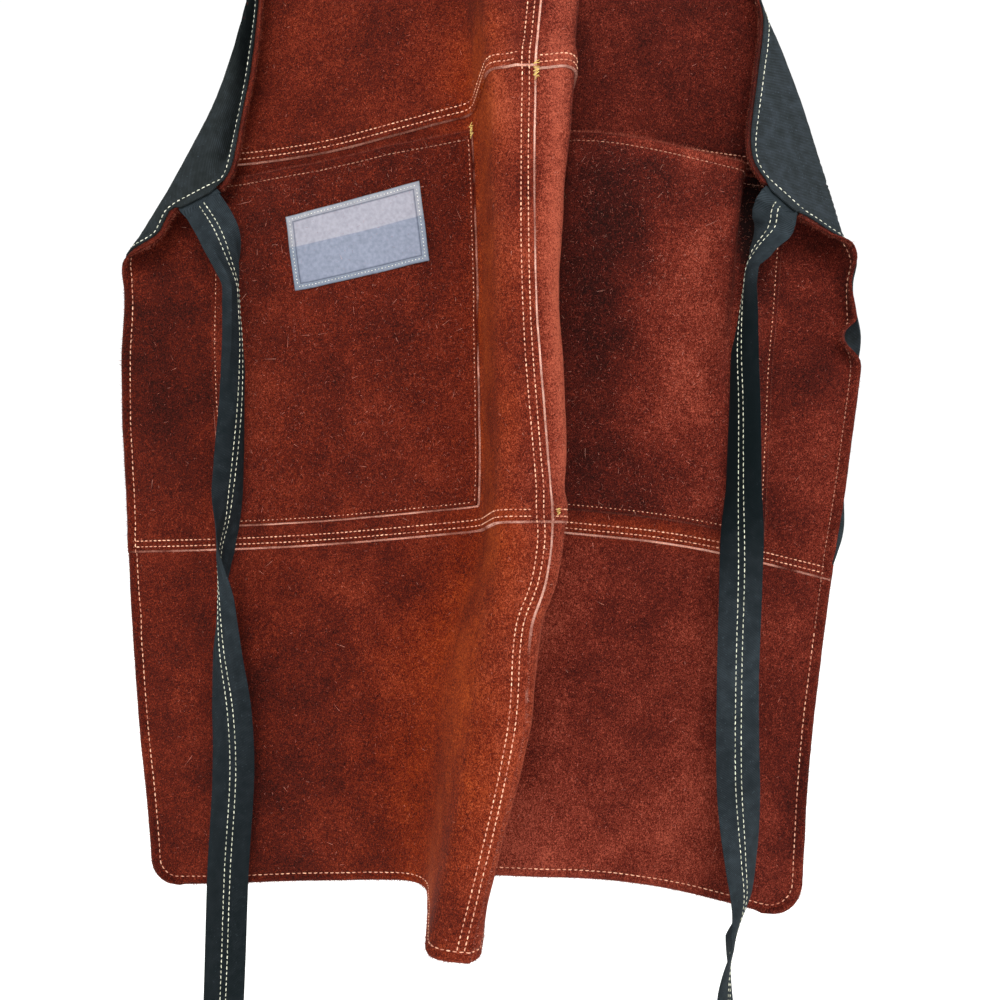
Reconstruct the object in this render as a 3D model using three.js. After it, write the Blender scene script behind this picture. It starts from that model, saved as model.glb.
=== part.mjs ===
import * as THREE from "three";

// Leather grill apron, hanging from its neck strap with both waist corners flopped forward.
// Millimetres. X to the viewer's right, Y away from the viewer, Z up.
// The origin is under the top of the neck strap, where the apron hangs.

// Wall thicknesses and the gap kept between layers
const SUEDE = 1.8;
const TWILL = 1.0;
const STRAP = 1.6;
const GAP = 0.3;
const POCKET_GAP = 0.9;
const LINING_GAP = 0.9;
const LAYER = SUEDE + GAP;

// Flat cut, measured up from the hem
const LOWER_SEAM = 254;
const UPPER_SEAM = 552;
const WAIST = 572;
const BIB_TOP = 880;
const BIB_HALF = 150;
const CORNER_RADIUS = 28;
const LAP = 12;
const LAP_RAMP = 10;

// The hanging cloth is followed by level sections, one row each, from the hem up to the top of the bib.
// The ridge down the middle: height of its crest, place of the centre seam, how far the shoulders
// stand to each side of the seam, and the two valleys where the ridge meets the sides.
const RIDGE = named(
  ["up", "z", "seamX", "seamY", "leftReach", "rightReach", "valleyLX", "valleyLY", "valleyRX", "valleyRY"],
  [
    [0, -1178, -18, -108, 27, 7, -50, 6, -10, 8],
    [127, -1046, 7, -91, 24, 9, -49, 4, 14, 14],
    [254, -915, 34, -70, 35, 7, -13, 2, 28, 18],
    [403, -766, 24, -65, 24, 15, -13, 3, 28, 16],
    [552, -616, 24, -63, 31, 25, -18, 3, 42, 14],
    [640, -528, 30, -54, 43, 21, -24, 5, 46, 12],
    [760, -409, 24, -41, 38, 24, -30, 6, 50, 12],
    [880, -290, 14, -27, 34, 28, -38, 5, 56, 8],
  ],
);

// The side edges as if the waist corners were not folded, and how far the cloth droops below the crest.
const SIDES = named(
  ["up", "leftX", "leftY", "leftDrop", "rightX", "rightY", "rightDrop", "valleyDrop"],
  [
    [0, -259, 25, 10, 219, 12, 25, -1],
    [127, -270, 30, 17, 227, 14, 33, 4],
    [254, -280, 35, 25, 242, 12, 44, 8],
    [403, -287, 36, 28, 262, 12, 43, 6],
    [478, -287, 36, 30, 264, 12, 48, 5],
    [552, -317, 36, 33, 302, 12, 54, 4],
    [640, -310, 34, 30, 296, 12, 46, 3],
    [760, -266, 28, 14, 266, 12, 18, 2],
    [880, -235, 16, 0, 245, 10, 0, 0],
  ],
);
const SHOULDER_BACK = 5;
const LEFT_BOW = 8;
const RIGHT_BOW = 3;
const LEFT_DROP_SHARE = 0.75;
const RIGHT_DROP_SHARE = 0.27;
// How far from a corner of a section its rounding starts, and the most of a side that it may take
const REACH = { bend: 60, valley: 16, shoulder: 12, seam: 10 };
const MOST_OF_SIDE = 0.48;
const ARC_STEPS = 8;
// Which corner of a section is which, counted from the left edge
const CORNER = { leftValley: 2, leftShoulder: 3, seam: 4, rightShoulder: 5, rightValley: 6 };

// Each waist corner rolls forward about a slanting line and shows its lined back.
const FOLDS = named(
  ["topX", "topZ", "lowX", "lowZ", "radius", "turn", "fade"],
  [
    [-182, -521, -274, -716, 10, 160, 0.0022],
    [185, -533, 250, -720, 10, 160, 0.0022],
  ],
);

// The armholes curve from the waist corner to the bib corner through one pull point each.
const ARMHOLES = named(
  ["pullOut", "pullUp"],
  [
    [200, 760],
    [150, 740],
  ],
);

// Patch pockets: outer edge from the centre seam at the foot and at the mouth, and how far they belly.
// Their inner edges run down the valleys beside the ridge.
// The belly is full from a share of the pocket's height up to its mouth.
const POCKET_FOOT = 272;
const POCKET_MOUTH = 547;
const FULL_BELLY = 0.55;
const POCKETS = named(
  ["side", "outerFoot", "outerMouth", "belly"],
  [
    [-1, 296, 288, 13],
    [1, 256, 266, 15],
  ],
);

// Woven label, sewn aslant on the left pocket
const LABEL = { wide: 99, tall: 55, out: 176, up: 480, tilt: 4, thick: 1.0, cellsWide: 5, cellsTall: 3 };

// Waist ties: the sewn root below the waist corner, then the hanging strap, one row for each bend
// or twist. Heading is the way the strap's width points, in degrees from X towards Y.
const TIE_WIDE = 30;
const TIE_CURL = 50;
const TIE_SEAT = 2 * LAYER + 2 * GAP;
const TIE_ROOT = { inset: 20, beyond: 4, below: 3 };
const TIE_LEFT = named(
  ["x", "y", "z", "heading"],
  [
    [-203, -4, -706, 5],
    [-198, -5, -724, 40],
    [-195, -5, -747, 70],
    [-195, -4, -780, 62],
    [-196, -2, -827, 54],
    [-198, 0, -893, 40],
    [-198, 6, -922, 60],
    [-198, 6, -973, 110],
    [-198, 6, -1009, 135],
    [-196, 6, -1053, 165],
    [-194, 6, -1096, 178],
    [-197, 6, -1170, 182],
    [-200, 6, -1245, 180],
    [-203, 6, -1321, 172],
    [-203, 6, -1394, 176],
    [-203, 6, -1463, 180],
  ],
);
const TIE_RIGHT = named(
  ["x", "y", "z", "heading"],
  [
    [190, -22, -712, -10],
    [183, -21, -729, -50],
    [176, -18, -743, -70],
    [173, -18, -767, -66],
    [171, -18, -795, -46],
    [172, -18, -851, -44],
    [171, -18, -893, -34],
    [169, -18, -949, -8],
    [167, -18, -1026, 0],
    [167, -18, -1100, 0],
    [169, -18, -1152, 30],
    [168, -18, -1182, 58],
    [162, -18, -1212, 78],
    [157, -18, -1250, 74],
    [160, -18, -1292, 40],
    [165, -18, -1355, 12],
    [167, -18, -1418, 0],
    [167, -18, -1474, 4],
  ],
);

// Neck strap: both ends sewn to the lining behind the bib corners, the loop carried over its hanging point.
const STRAP_WIDE = 30;
const STRAP_CURL = 0;
const STRAP_ROOT = { inset: 20, deep: 30, edge: 4 };
const NECK = named(
  ["x", "y", "z", "heading"],
  [
    [-102, 20, -262, 4],
    [-80, 15, -205, 20],
    [-54, 7, -135, 50],
    [-32, 3, -72, 76],
    [-17, 0, -24, 90],
    [-10, 0, -6, 90],
    [0, 0, 0.8, 90],
    [10, 0, -6, 90],
    [18, 0, -24, 90],
    [36, 3, -72, 104],
    [64, 6, -135, 130],
    [96, 13, -205, 160],
    [124, 17, -262, 176],
  ],
);
const PER_ROW = 2;

// Colours and finish of the four materials
const REDDISH_SUEDE = { color: 0x6e2f24, roughness: 0.95, metalness: 0 };
const BLACK_TWILL = { color: 0x2a3236, roughness: 0.9, metalness: 0 };
const TIE_TWILL = { color: 0x2b3438, roughness: 0.9, metalness: 0 };
const WOVEN_LABEL = { color: 0x8f94a6, roughness: 0.85, metalness: 0 };

// Rows with named columns
function named(columns, rows) {
  return rows.map((row) => Object.fromEntries(columns.map((name, i) => [name, row[i]])));
}

// A smooth value between the rows of a table, by the slope through the rows on either side
function between(rows, column, up) {
  const last = rows.length - 1;
  let i = 0;
  while (i < last - 1 && rows[i + 1].up < up) i += 1;
  const slope = (k) => {
    const a = rows[Math.max(k - 1, 0)];
    const b = rows[Math.min(k + 1, last)];
    return (b[column] - a[column]) / (b.up - a.up);
  };
  const span = rows[i + 1].up - rows[i].up;
  const t = (up - rows[i].up) / span;
  const rise = rows[i + 1][column] - rows[i][column];
  const bend = slope(i) * span - rise;
  const bendBack = rise - slope(i + 1) * span;
  return rows[i][column] + rise * t + t * (1 - t) * (bend * (1 - t) + bendBack * t);
}

// One level section as a line with rounded corners; lengths run from the centre seam, left negative
const sections = new Map();
function section(up) {
  if (sections.has(up)) return sections.get(up);
  const r = Object.fromEntries(Object.keys(RIDGE[0]).map((k) => [k, between(RIDGE, k, up)]));
  const s = Object.fromEntries(Object.keys(SIDES[0]).map((k) => [k, between(SIDES, k, up)]));
  const at = (x, y, drop) => new THREE.Vector3(x, y, r.z - drop);
  const half = (a, b) => (a + b) / 2;
  const share = (a, b, t) => a + (b - a) * t;
  const shoulderY = r.seamY + SHOULDER_BACK;
  const corners = [
    [at(s.leftX, s.leftY, s.leftDrop), 0],
    [
      at(
        half(s.leftX, r.valleyLX),
        half(s.leftY, r.valleyLY) + LEFT_BOW,
        share(s.valleyDrop, s.leftDrop, LEFT_DROP_SHARE),
      ),
      REACH.bend,
    ],
    [at(r.valleyLX, r.valleyLY, s.valleyDrop), REACH.valley],
    [at(r.seamX - r.leftReach, shoulderY, 0), REACH.shoulder],
    [at(r.seamX, r.seamY, 0), REACH.seam],
    [at(r.seamX + r.rightReach, shoulderY, 0), REACH.shoulder],
    [at(r.valleyRX, r.valleyRY, s.valleyDrop), REACH.valley],
    [
      at(
        half(s.rightX, r.valleyRX),
        half(s.rightY, r.valleyRY) + RIGHT_BOW,
        share(s.valleyDrop, s.rightDrop, RIGHT_DROP_SHARE),
      ),
      REACH.bend,
    ],
    [at(s.rightX, s.rightY, s.rightDrop), 0],
  ];
  const points = [corners[0][0]];
  const middle = [0];
  for (let i = 1; i < corners.length - 1; i += 1) {
    const [c, reach] = corners[i];
    const a = corners[i - 1][0];
    const b = corners[i + 1][0];
    const most = MOST_OF_SIDE * Math.min(c.distanceTo(a), c.distanceTo(b));
    const cut = Math.min(reach, most);
    const from = c.clone().lerp(a, cut / c.distanceTo(a));
    const to = c.clone().lerp(b, cut / c.distanceTo(b));
    const round = new THREE.QuadraticBezierCurve3(from, c, to);
    points.push(...round.getPoints(ARC_STEPS));
    middle.push(points.length - 1 - ARC_STEPS / 2);
  }
  middle.push(points.length);
  points.push(corners[corners.length - 1][0]);
  const lengths = [0];
  for (let i = 1; i < points.length; i += 1) {
    lengths.push(lengths[i - 1] + points[i].distanceTo(points[i - 1]));
  }
  const zero = lengths[middle[CORNER.seam]];
  const out = lengths.map((l) => l - zero);
  const made = { points, out, stations: middle.map((m) => out[m]) };
  sections.set(up, made);
  return made;
}

// A point of the cloth before its corners fold, at a length out from the centre seam
// and a height up from the hem
function spread(out, up) {
  const line = section(up);
  const last = line.out.length - 1;
  let i = 0;
  while (i < last - 1 && line.out[i + 1] < out) i += 1;
  const t = (out - line.out[i]) / (line.out[i + 1] - line.out[i]);
  const a = line.points[i];
  const b = line.points[i + 1];
  return new THREE.Vector3(a.x + (b.x - a.x) * t, a.y + (b.y - a.y) * t, a.z + (b.z - a.z) * t);
}

// How far a point lies past the line where a corner starts to roll
function pastFold(p, fold) {
  const along = new THREE.Vector2(fold.lowX - fold.topX, fold.lowZ - fold.topZ).normalize();
  const outward = new THREE.Vector2(-along.y, along.x);
  if (outward.x * fold.lowX < 0) outward.negate();
  const slack = fold.fade * Math.max(0, p.z - fold.topZ) ** 2;
  const past = (p.x - fold.topX) * outward.x + (p.z - fold.topZ) * outward.y + fold.radius - slack;
  return { past, outward };
}

// The hanging cloth, with the corners rolled forward
function cloth(out, up) {
  const p = spread(out, up);
  for (const fold of FOLDS) {
    const { past, outward } = pastFold(p, fold);
    if (past <= 0) continue;
    const turn = Math.min(past / fold.radius, THREE.MathUtils.degToRad(fold.turn));
    const rest = past - turn * fold.radius;
    const across = fold.radius * Math.sin(turn) + rest * Math.cos(turn) - past;
    const forward = fold.radius * (1 - Math.cos(turn)) + rest * Math.sin(turn);
    p.x += outward.x * across;
    p.z += outward.y * across;
    p.y -= forward;
  }
  return p;
}

// The cloth's outer face direction
const NUDGE = 0.8;
function facing(out, up) {
  const across = cloth(out + NUDGE, up).sub(cloth(out - NUDGE, up));
  const upward = cloth(out, up + NUDGE).sub(cloth(out, up - NUDGE));
  return across.cross(upward).normalize();
}
function place(out, up, lift) {
  return cloth(out, up).addScaledVector(facing(out, up), lift);
}

// Cut outline: half width at a height, on the left (-1) or right (1)
function sideEdge(side, up) {
  const { stations } = section(up);
  return side < 0 ? -stations[0] : stations[stations.length - 1];
}
function edge(side, up) {
  if (up > WAIST) {
    const pull = ARMHOLES[side < 0 ? 0 : 1];
    const a = WAIST - 2 * pull.pullUp + BIB_TOP;
    const b = pull.pullUp - WAIST;
    const t = (-b + Math.sqrt(b * b - a * (WAIST - up))) / a;
    const corner = sideEdge(side, WAIST);
    return corner * (1 - t) ** 2 + 2 * pull.pullOut * t * (1 - t) + BIB_HALF * t * t;
  }
  if (up >= CORNER_RADIUS) return sideEdge(side, up);
  const inward = CORNER_RADIUS - up;
  return sideEdge(side, up) - CORNER_RADIUS + Math.sqrt(CORNER_RADIUS ** 2 - inward ** 2);
}

// Length out from the seam at which the corner starts to roll, or a little inside the edge
// where it doesn't roll, found by halving
const EDGE_BAND = 24;
const HALVINGS = 30;
function rollStart(side, up) {
  const most = edge(side, up) - EDGE_BAND;
  const fold = FOLDS[side < 0 ? 0 : 1];
  let low = valleyOut(side, up);
  let high = most;
  if (pastFold(spread(side * high, up), fold).past <= 0) return most;
  for (let i = 0; i < HALVINGS; i += 1) {
    const mid = (low + high) / 2;
    if (pastFold(spread(side * mid, up), fold).past > 0) high = mid;
    else low = mid;
  }
  return low;
}

// Length out from the seam to the bottom of the valley beside the ridge
function valleyOut(side, up) {
  return side * section(up).stations[side < 0 ? CORNER.leftValley : CORNER.rightValley];
}

// Columns of a half at one height: seam lap, ridge shoulder, flank, valley, side and rolled corner
const VALLEY_ROUND = 12;
const LEAST_STEP = 2;
const POCKET_SHARES = [0.2, 0.4, 0.6, 0.8, 0.93, 1];
const SIDE_SHARES = [0.35, 0.7, 1];
const ROLL_SHARES = [0.09, 0.18, 0.28, 0.4, 1];
function columns(side, up) {
  const { stations } = section(up);
  const shoulder = side * stations[side < 0 ? CORNER.leftShoulder : CORNER.rightShoulder];
  const valley = valleyOut(side, up);
  const roll = Math.max(rollStart(side, up), valley + 2 * VALLEY_ROUND);
  const rim = edge(side, up);
  const foot = valley - VALLEY_ROUND;
  const bank = valley + VALLEY_ROUND;
  const list = side < 0 ? [0, LAP, LAP + LAP_RAMP] : [0];
  const bent = Math.max(shoulder, list[list.length - 1]) + LEAST_STEP;
  list.push(bent, (bent + foot) / 2, foot, valley, bank);
  for (const t of SIDE_SHARES) list.push(bank + (roll - bank) * t);
  for (const t of ROLL_SHARES) list.push(roll + (rim - roll) * t);
  const signed = list.map((l) => side * l);
  return side < 0 ? signed.reverse() : signed;
}

// Heights of the rows of each strip of panels, closest where the corners roll
const ROLL_FROM = 460;
const ROLL_TO = 792;
const SKIRT_STEPS = 3;
const MIDDLE_STEPS = 3;
const ROLL_STEPS = 3;
const BIB_STEPS = 10;
function evenly(from, to, steps) {
  return Array.from({ length: steps + 1 }, (_, i) => from + ((to - from) * i) / steps);
}
const SKIRT_ROWS = [
  0,
  CORNER_RADIUS / 3,
  ...evenly(CORNER_RADIUS, LOWER_SEAM - LAP_RAMP, SKIRT_STEPS),
  LOWER_SEAM,
  LOWER_SEAM + LAP,
];
const MIDDLE_ROWS = [
  LOWER_SEAM,
  LOWER_SEAM + LAP,
  ...evenly(LOWER_SEAM + LAP + LAP_RAMP, ROLL_FROM, MIDDLE_STEPS),
  ...evenly(ROLL_FROM, UPPER_SEAM - LAP_RAMP, ROLL_STEPS).slice(1),
  UPPER_SEAM,
  UPPER_SEAM + LAP,
];
const BIB_ROWS = [
  UPPER_SEAM,
  UPPER_SEAM + LAP,
  WAIST,
  ...evenly(WAIST + LAP_RAMP, ROLL_TO, BIB_STEPS),
  (ROLL_TO + BIB_TOP) / 2,
  BIB_TOP,
];

// Steps forward where a panel laps over its neighbour
function ramp(value, full, none) {
  return Math.min(1, Math.max(0, (none - value) / (none - full)));
}
function overLower(up, seam) {
  return ramp(up, seam + LAP, seam + LAP + LAP_RAMP);
}
function crossing(up) {
  const band = (seam) => Math.min(ramp(up, seam, seam - LAP_RAMP), overLower(up, seam));
  return 1 + Math.max(band(LOWER_SEAM), band(UPPER_SEAM));
}
function lapLift(side, seam) {
  return (out, up) => {
    const over = side < 0 ? ramp(-out, LAP, LAP + LAP_RAMP) * crossing(up) : 0;
    const above = seam === null ? 0 : overLower(up, seam);
    return LAYER * (over + above);
  };
}

// A closed wall between a front and a back grid of points
function wallOf(front, back) {
  const rows = front.length;
  const wide = front[0].length;
  const vertices = [...front.flat(), ...back.flat()];
  const f = (i, j) => i * wide + j;
  const b = (i, j) => rows * wide + i * wide + j;
  const faces = [];
  for (let i = 0; i < rows - 1; i += 1)
    for (let j = 0; j < wide - 1; j += 1) {
      faces.push(f(i, j), f(i, j + 1), f(i + 1, j + 1), f(i, j), f(i + 1, j + 1), f(i + 1, j));
      faces.push(b(i, j), b(i + 1, j + 1), b(i, j + 1), b(i, j), b(i + 1, j), b(i + 1, j + 1));
    }
  const rim = (i, j, k, l) => faces.push(f(i, j), b(i, j), b(k, l), f(i, j), b(k, l), f(k, l));
  for (let j = 0; j < wide - 1; j += 1) {
    rim(0, j, 0, j + 1);
    rim(rows - 1, j + 1, rows - 1, j);
  }
  for (let i = 0; i < rows - 1; i += 1) {
    rim(i, wide - 1, i + 1, wide - 1);
    rim(i + 1, 0, i, 0);
  }
  const geometry = new THREE.BufferGeometry();
  const numbers = vertices.flatMap((p) => [p.x, p.y, p.z]);
  geometry.setAttribute("position", new THREE.Float32BufferAttribute(numbers, 3));
  geometry.setIndex(faces);
  geometry.computeVertexNormals();
  return geometry;
}

// A wall of the cloth: every row has its own columns, and the lift says where its back face lies
function clothWall(rows, columnsAt, lift, thick) {
  const grid = rows.map((up) => columnsAt(up).map((out) => [out, up]));
  const face = (more) => grid.map((row) => row.map(([out, up]) => place(out, up, lift(out, up) + more)));
  return wallOf(face(thick), face(0));
}

function panel(side, rows, seam) {
  const cols = (up) => (side < 0 ? columns(-1, up) : [-LAP, ...columns(1, up)]);
  return clothWall(rows, cols, lapLift(side, seam), SUEDE);
}

function liningWall() {
  const rows = [...new Set([...SKIRT_ROWS, ...MIDDLE_ROWS, ...BIB_ROWS])].sort((a, b) => a - b);
  const cols = (up) => [...columns(-1, up), ...columns(1, up).slice(1)];
  return clothWall(rows, cols, () => -LINING_GAP - TWILL, TWILL);
}

// Pocket: sewn down along three sides, bellied between them and open at the mouth
function pocketShare(pocket, across, up) {
  const height = (up - POCKET_FOOT) / (POCKET_MOUTH - POCKET_FOOT);
  const rise = Math.min(1, height / FULL_BELLY);
  return pocket.belly * Math.sin(Math.PI * across) * Math.sin((Math.PI / 2) * rise);
}
function pocketSpan(pocket, up) {
  const t = (up - POCKET_FOOT) / (POCKET_MOUTH - POCKET_FOOT);
  const outer = pocket.outerFoot + (pocket.outerMouth - pocket.outerFoot) * t;
  const inner = valleyOut(pocket.side, up);
  return pocket.side < 0 ? [-outer, -inner] : [inner, outer];
}
function pocketLift(pocket) {
  const panelLift = lapLift(pocket.side, LOWER_SEAM);
  return (out, up) => {
    const [from, to] = pocketSpan(pocket, up);
    const across = Math.min(1, Math.max(0, (out - from) / (to - from)));
    return panelLift(out, up) + SUEDE + POCKET_GAP + pocketShare(pocket, across, up);
  };
}
function pocketWall(pocket) {
  const inside = MIDDLE_ROWS.filter((up) => up > POCKET_FOOT && up < POCKET_MOUTH);
  const rows = [POCKET_FOOT, ...inside, POCKET_MOUTH];
  const cols = (up) => {
    const [from, to] = pocketSpan(pocket, up);
    const inner = valleyOut(pocket.side, up);
    const outer = pocket.side < 0 ? -from : to;
    const bank = inner + VALLEY_ROUND;
    const list = [inner, bank, ...POCKET_SHARES.map((t) => bank + (outer - bank) * t)];
    const signed = list.map((l) => pocket.side * l);
    return pocket.side < 0 ? signed.reverse() : signed;
  };
  return clothWall(rows, cols, pocketLift(pocket), SUEDE);
}

function labelWall() {
  const lift = pocketLift(POCKETS[0]);
  const tilt = THREE.MathUtils.degToRad(LABEL.tilt);
  const spot = (i, j) => {
    const across = (j / LABEL.cellsWide - 0.5) * LABEL.wide;
    const rise = (i / LABEL.cellsTall - 0.5) * LABEL.tall;
    return [
      -LABEL.out + across * Math.cos(tilt) - rise * Math.sin(tilt),
      LABEL.up + across * Math.sin(tilt) + rise * Math.cos(tilt),
    ];
  };
  const face = (more) =>
    Array.from({ length: LABEL.cellsTall + 1 }, (_, i) =>
      Array.from({ length: LABEL.cellsWide + 1 }, (__, j) => {
        const [out, up] = spot(i, j);
        return place(out, up, lift(out, up) + SUEDE + POCKET_GAP + more);
      }),
    );
  return wallOf(face(LABEL.thick), face(0));
}

// Rows of points across a hanging strap, curled a little along its length
const ACROSS = [-0.5, 0, 0.5];
function strapRows(table, wide, curl) {
  const path = new THREE.CatmullRomCurve3(
    table.map((r) => new THREE.Vector3(r.x, r.y, r.z)),
    false,
    "centripetal",
  );
  const steps = (table.length - 1) * PER_ROW;
  const bend = THREE.MathUtils.degToRad(curl);
  return Array.from({ length: steps + 1 }, (_, k) => {
    const t = k / steps;
    const i = Math.min(table.length - 2, Math.floor(t * (table.length - 1)));
    const share = t * (table.length - 1) - i;
    const degrees = THREE.MathUtils.lerp(table[i].heading, table[i + 1].heading, share);
    const heading = THREE.MathUtils.degToRad(degrees);
    const centre = path.getPoint(t);
    const tangent = path.getTangent(t);
    const across = new THREE.Vector3(Math.cos(heading), Math.sin(heading), 0);
    across.addScaledVector(tangent, -across.dot(tangent)).normalize();
    const normal = tangent.clone().cross(across);
    const row = (lift) =>
      ACROSS.map((w) => {
        const turn = w * bend;
        const radius = bend === 0 ? 0 : wide / bend;
        const side = bend === 0 ? w * wide : radius * Math.sin(turn);
        const deep = bend === 0 ? 0 : radius * (1 - Math.cos(turn));
        return centre
          .clone()
          .addScaledVector(across, side - lift * Math.sin(turn))
          .addScaledVector(normal, deep + lift * Math.cos(turn));
      });
    return { front: row(STRAP / 2), back: row(-STRAP / 2) };
  });
}

// Tie: its root is sewn flat to the inside of the folded corner, then it hangs free
function tieWall(side, table) {
  const root = [TIE_ROOT.inset, -TIE_ROOT.beyond].map((inset) => {
    const row = (lift) =>
      ACROSS.map((w) => {
        const up = WAIST - TIE_ROOT.below - TIE_WIDE * (0.5 + side * w);
        return place(side * (sideEdge(side, up) - inset), up, lift);
      });
    return { front: row(TIE_SEAT), back: row(TIE_SEAT + STRAP) };
  });
  const rows = [...root, ...strapRows(table, TIE_WIDE, TIE_CURL)];
  return wallOf(rows.map((r) => r.front).reverse(), rows.map((r) => r.back).reverse());
}

// Neck strap: flat behind both bib corners, then round the loop
function strapWall() {
  const seat = -LINING_GAP - TWILL - GAP;
  const end = (side, depth) => {
    const middle = BIB_HALF - STRAP_ROOT.inset;
    const row = (lift) => ACROSS.map((w) => place(side * (middle - w * STRAP_WIDE), BIB_TOP - depth, lift));
    return { front: row(seat - STRAP), back: row(seat) };
  };
  const rows = [
    end(-1, STRAP_ROOT.deep),
    end(-1, STRAP_ROOT.edge),
    ...strapRows(NECK, STRAP_WIDE, STRAP_CURL),
    end(1, STRAP_ROOT.edge),
    end(1, STRAP_ROOT.deep),
  ];
  return wallOf(rows.map((r) => r.front).reverse(), rows.map((r) => r.back).reverse());
}

// The assembly
const apron = new THREE.Group();
apron.name = "leather_grill_apron";
function add(name, geometry, finish) {
  const mesh = new THREE.Mesh(geometry, new THREE.MeshStandardMaterial(finish));
  mesh.name = name;
  apron.add(mesh);
}
for (const [side, word] of [
  [-1, "left"],
  [1, "right"],
]) {
  add(`skirt_${word}`, panel(side, SKIRT_ROWS, null), REDDISH_SUEDE);
  add(`middle_${word}`, panel(side, MIDDLE_ROWS, LOWER_SEAM), REDDISH_SUEDE);
  add(`bib_${word}`, panel(side, BIB_ROWS, UPPER_SEAM), REDDISH_SUEDE);
}
add("lining", liningWall(), BLACK_TWILL);
add("pocket_left", pocketWall(POCKETS[0]), REDDISH_SUEDE);
add("pocket_right", pocketWall(POCKETS[1]), REDDISH_SUEDE);
add("label_patch", labelWall(), WOVEN_LABEL);
add("tie_left", tieWall(-1, TIE_LEFT), TIE_TWILL);
add("tie_right", tieWall(1, TIE_RIGHT), TIE_TWILL);
add("neck_strap", strapWall(), TIE_TWILL);

export default apron;
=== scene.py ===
# %% [markdown]
# # A leather grill apron, hung up
# The apron is cut from split suede in six lapped panels, backed with black twill, and hangs by its
# neck strap with both waist corners flopped forward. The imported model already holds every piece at
# its real size. This lesson swaps each plain wall for a soft, sewn one in the same place, and then
# lights it. All sizes in the tables are millimetres.

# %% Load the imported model
import math

import bpy
import numpy as np
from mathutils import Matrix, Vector


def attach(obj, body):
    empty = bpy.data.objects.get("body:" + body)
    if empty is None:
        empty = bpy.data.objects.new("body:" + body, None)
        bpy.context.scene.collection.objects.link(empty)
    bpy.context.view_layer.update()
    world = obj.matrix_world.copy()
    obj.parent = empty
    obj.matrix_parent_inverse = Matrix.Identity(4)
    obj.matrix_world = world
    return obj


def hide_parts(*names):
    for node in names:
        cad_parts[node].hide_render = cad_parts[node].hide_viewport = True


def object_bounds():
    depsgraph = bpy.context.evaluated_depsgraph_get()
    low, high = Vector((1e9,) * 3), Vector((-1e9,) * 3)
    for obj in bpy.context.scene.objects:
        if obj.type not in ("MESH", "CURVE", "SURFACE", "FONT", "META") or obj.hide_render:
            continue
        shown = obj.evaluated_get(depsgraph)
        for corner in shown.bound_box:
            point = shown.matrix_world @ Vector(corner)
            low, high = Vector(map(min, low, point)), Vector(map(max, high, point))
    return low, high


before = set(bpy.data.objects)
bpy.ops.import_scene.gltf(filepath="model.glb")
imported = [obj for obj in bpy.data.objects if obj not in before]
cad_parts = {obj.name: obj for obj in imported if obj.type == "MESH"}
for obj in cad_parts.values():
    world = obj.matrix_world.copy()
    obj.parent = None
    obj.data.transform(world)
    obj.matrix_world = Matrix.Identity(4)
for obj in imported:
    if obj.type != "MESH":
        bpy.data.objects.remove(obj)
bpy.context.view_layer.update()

MM = 0.001
print("pieces in the frame:", ", ".join(sorted(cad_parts)))

# %% [markdown]
# ## Camera
# The picture was taken level with the pockets, from close by, so the near ridge looks larger than
# the sides. A long lens from further off would frame the same width, but flatten the ridge. The camera
# is set first, because everything after it is judged through this lens.

# %% Camera
CAMERA_AT = (0.0, -650.0, -900.0)
HALF_VIEW = 360.0
SENSOR = 36.0

bpy.ops.object.camera_add(location=[v * MM for v in CAMERA_AT], rotation=(math.pi / 2, 0, 0))
camera = bpy.context.object
camera.data.sensor_width = SENSOR
camera.data.lens = SENSOR / 2 * -CAMERA_AT[1] / HALF_VIEW
bpy.context.scene.camera = camera
print("lens", round(camera.data.lens, 1), "mm")

# %% [markdown]
# ## The hanging form
# A hung apron is one sheet with a few large folds, so its form can be told by short tables: the
# ridge down the middle, the side edges, and the two rolled corners. Each row is a level section,
# measured up from the hem, and a drop is how far a place sags below its level. Cloth simulation could
# find such folds by itself, but these have to be the folds of this apron, so the sheet is laid along
# the sections instead.

# %% Tables of the form
def named(columns, rows):
    """Rows of numbers as named columns."""
    return {name: np.array(column, float) for name, column in zip(columns.split(), zip(*rows))}


SUEDE, TWILL, STRAP, GAP = 1.8, 0.6, 1.6, 0.3
LOWER_SEAM, UPPER_SEAM, WAIST, BIB_TOP = 254, 552, 572, 880
BIB_HALF = 150
CORNER_RADIUS = {-1: 20, 1: 29}
LAP, LAP_RAMP, LAYER = 12, 10, SUEDE + GAP

RIDGE_COLUMNS = "up z seamX seamY crestDrop leftReach rightReach"
RIDGE = named(RIDGE_COLUMNS + " valleyLX valleyLY valleyRX valleyRY softL", [
    [0, -1178, -18, -108, 0, 27, 4, -50, 6, -10, 8, 30],
    [127, -1046, 14, -91, 0, 29, 2, -49, 4, 14, 14, 30],
    [190, -981, 20, -79, 0, 28, 3, -33, 3, 21, 16, 22],
    [219, -951, 30, -75, 0, 32, 5, -22, 3, 25, 17, 16],
    [254, -915, 34, -70, 0, 35, 7, -13, 2, 28, 18, 10],
    [403, -766, 24, -65, 2, 24, 15, -13, 3, 28, 16, 9],
    [552, -616, 24, -63, 5, 31, 25, -18, 3, 42, 14, 9],
    [640, -528, 30, -54, 3, 43, 25, -24, 5, 46, 12, 9],
    [760, -409, 24, -41, 0, 38, 29, -30, 6, 50, 12, 9],
    [880, -290, 14, -27, 0, 34, 33, -38, 5, 56, 8, 9],
])
SIDE_COLUMNS = "up leftX leftY leftDrop leftMidDrop valleyDrop valleyRDrop rightMidDrop"
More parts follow.
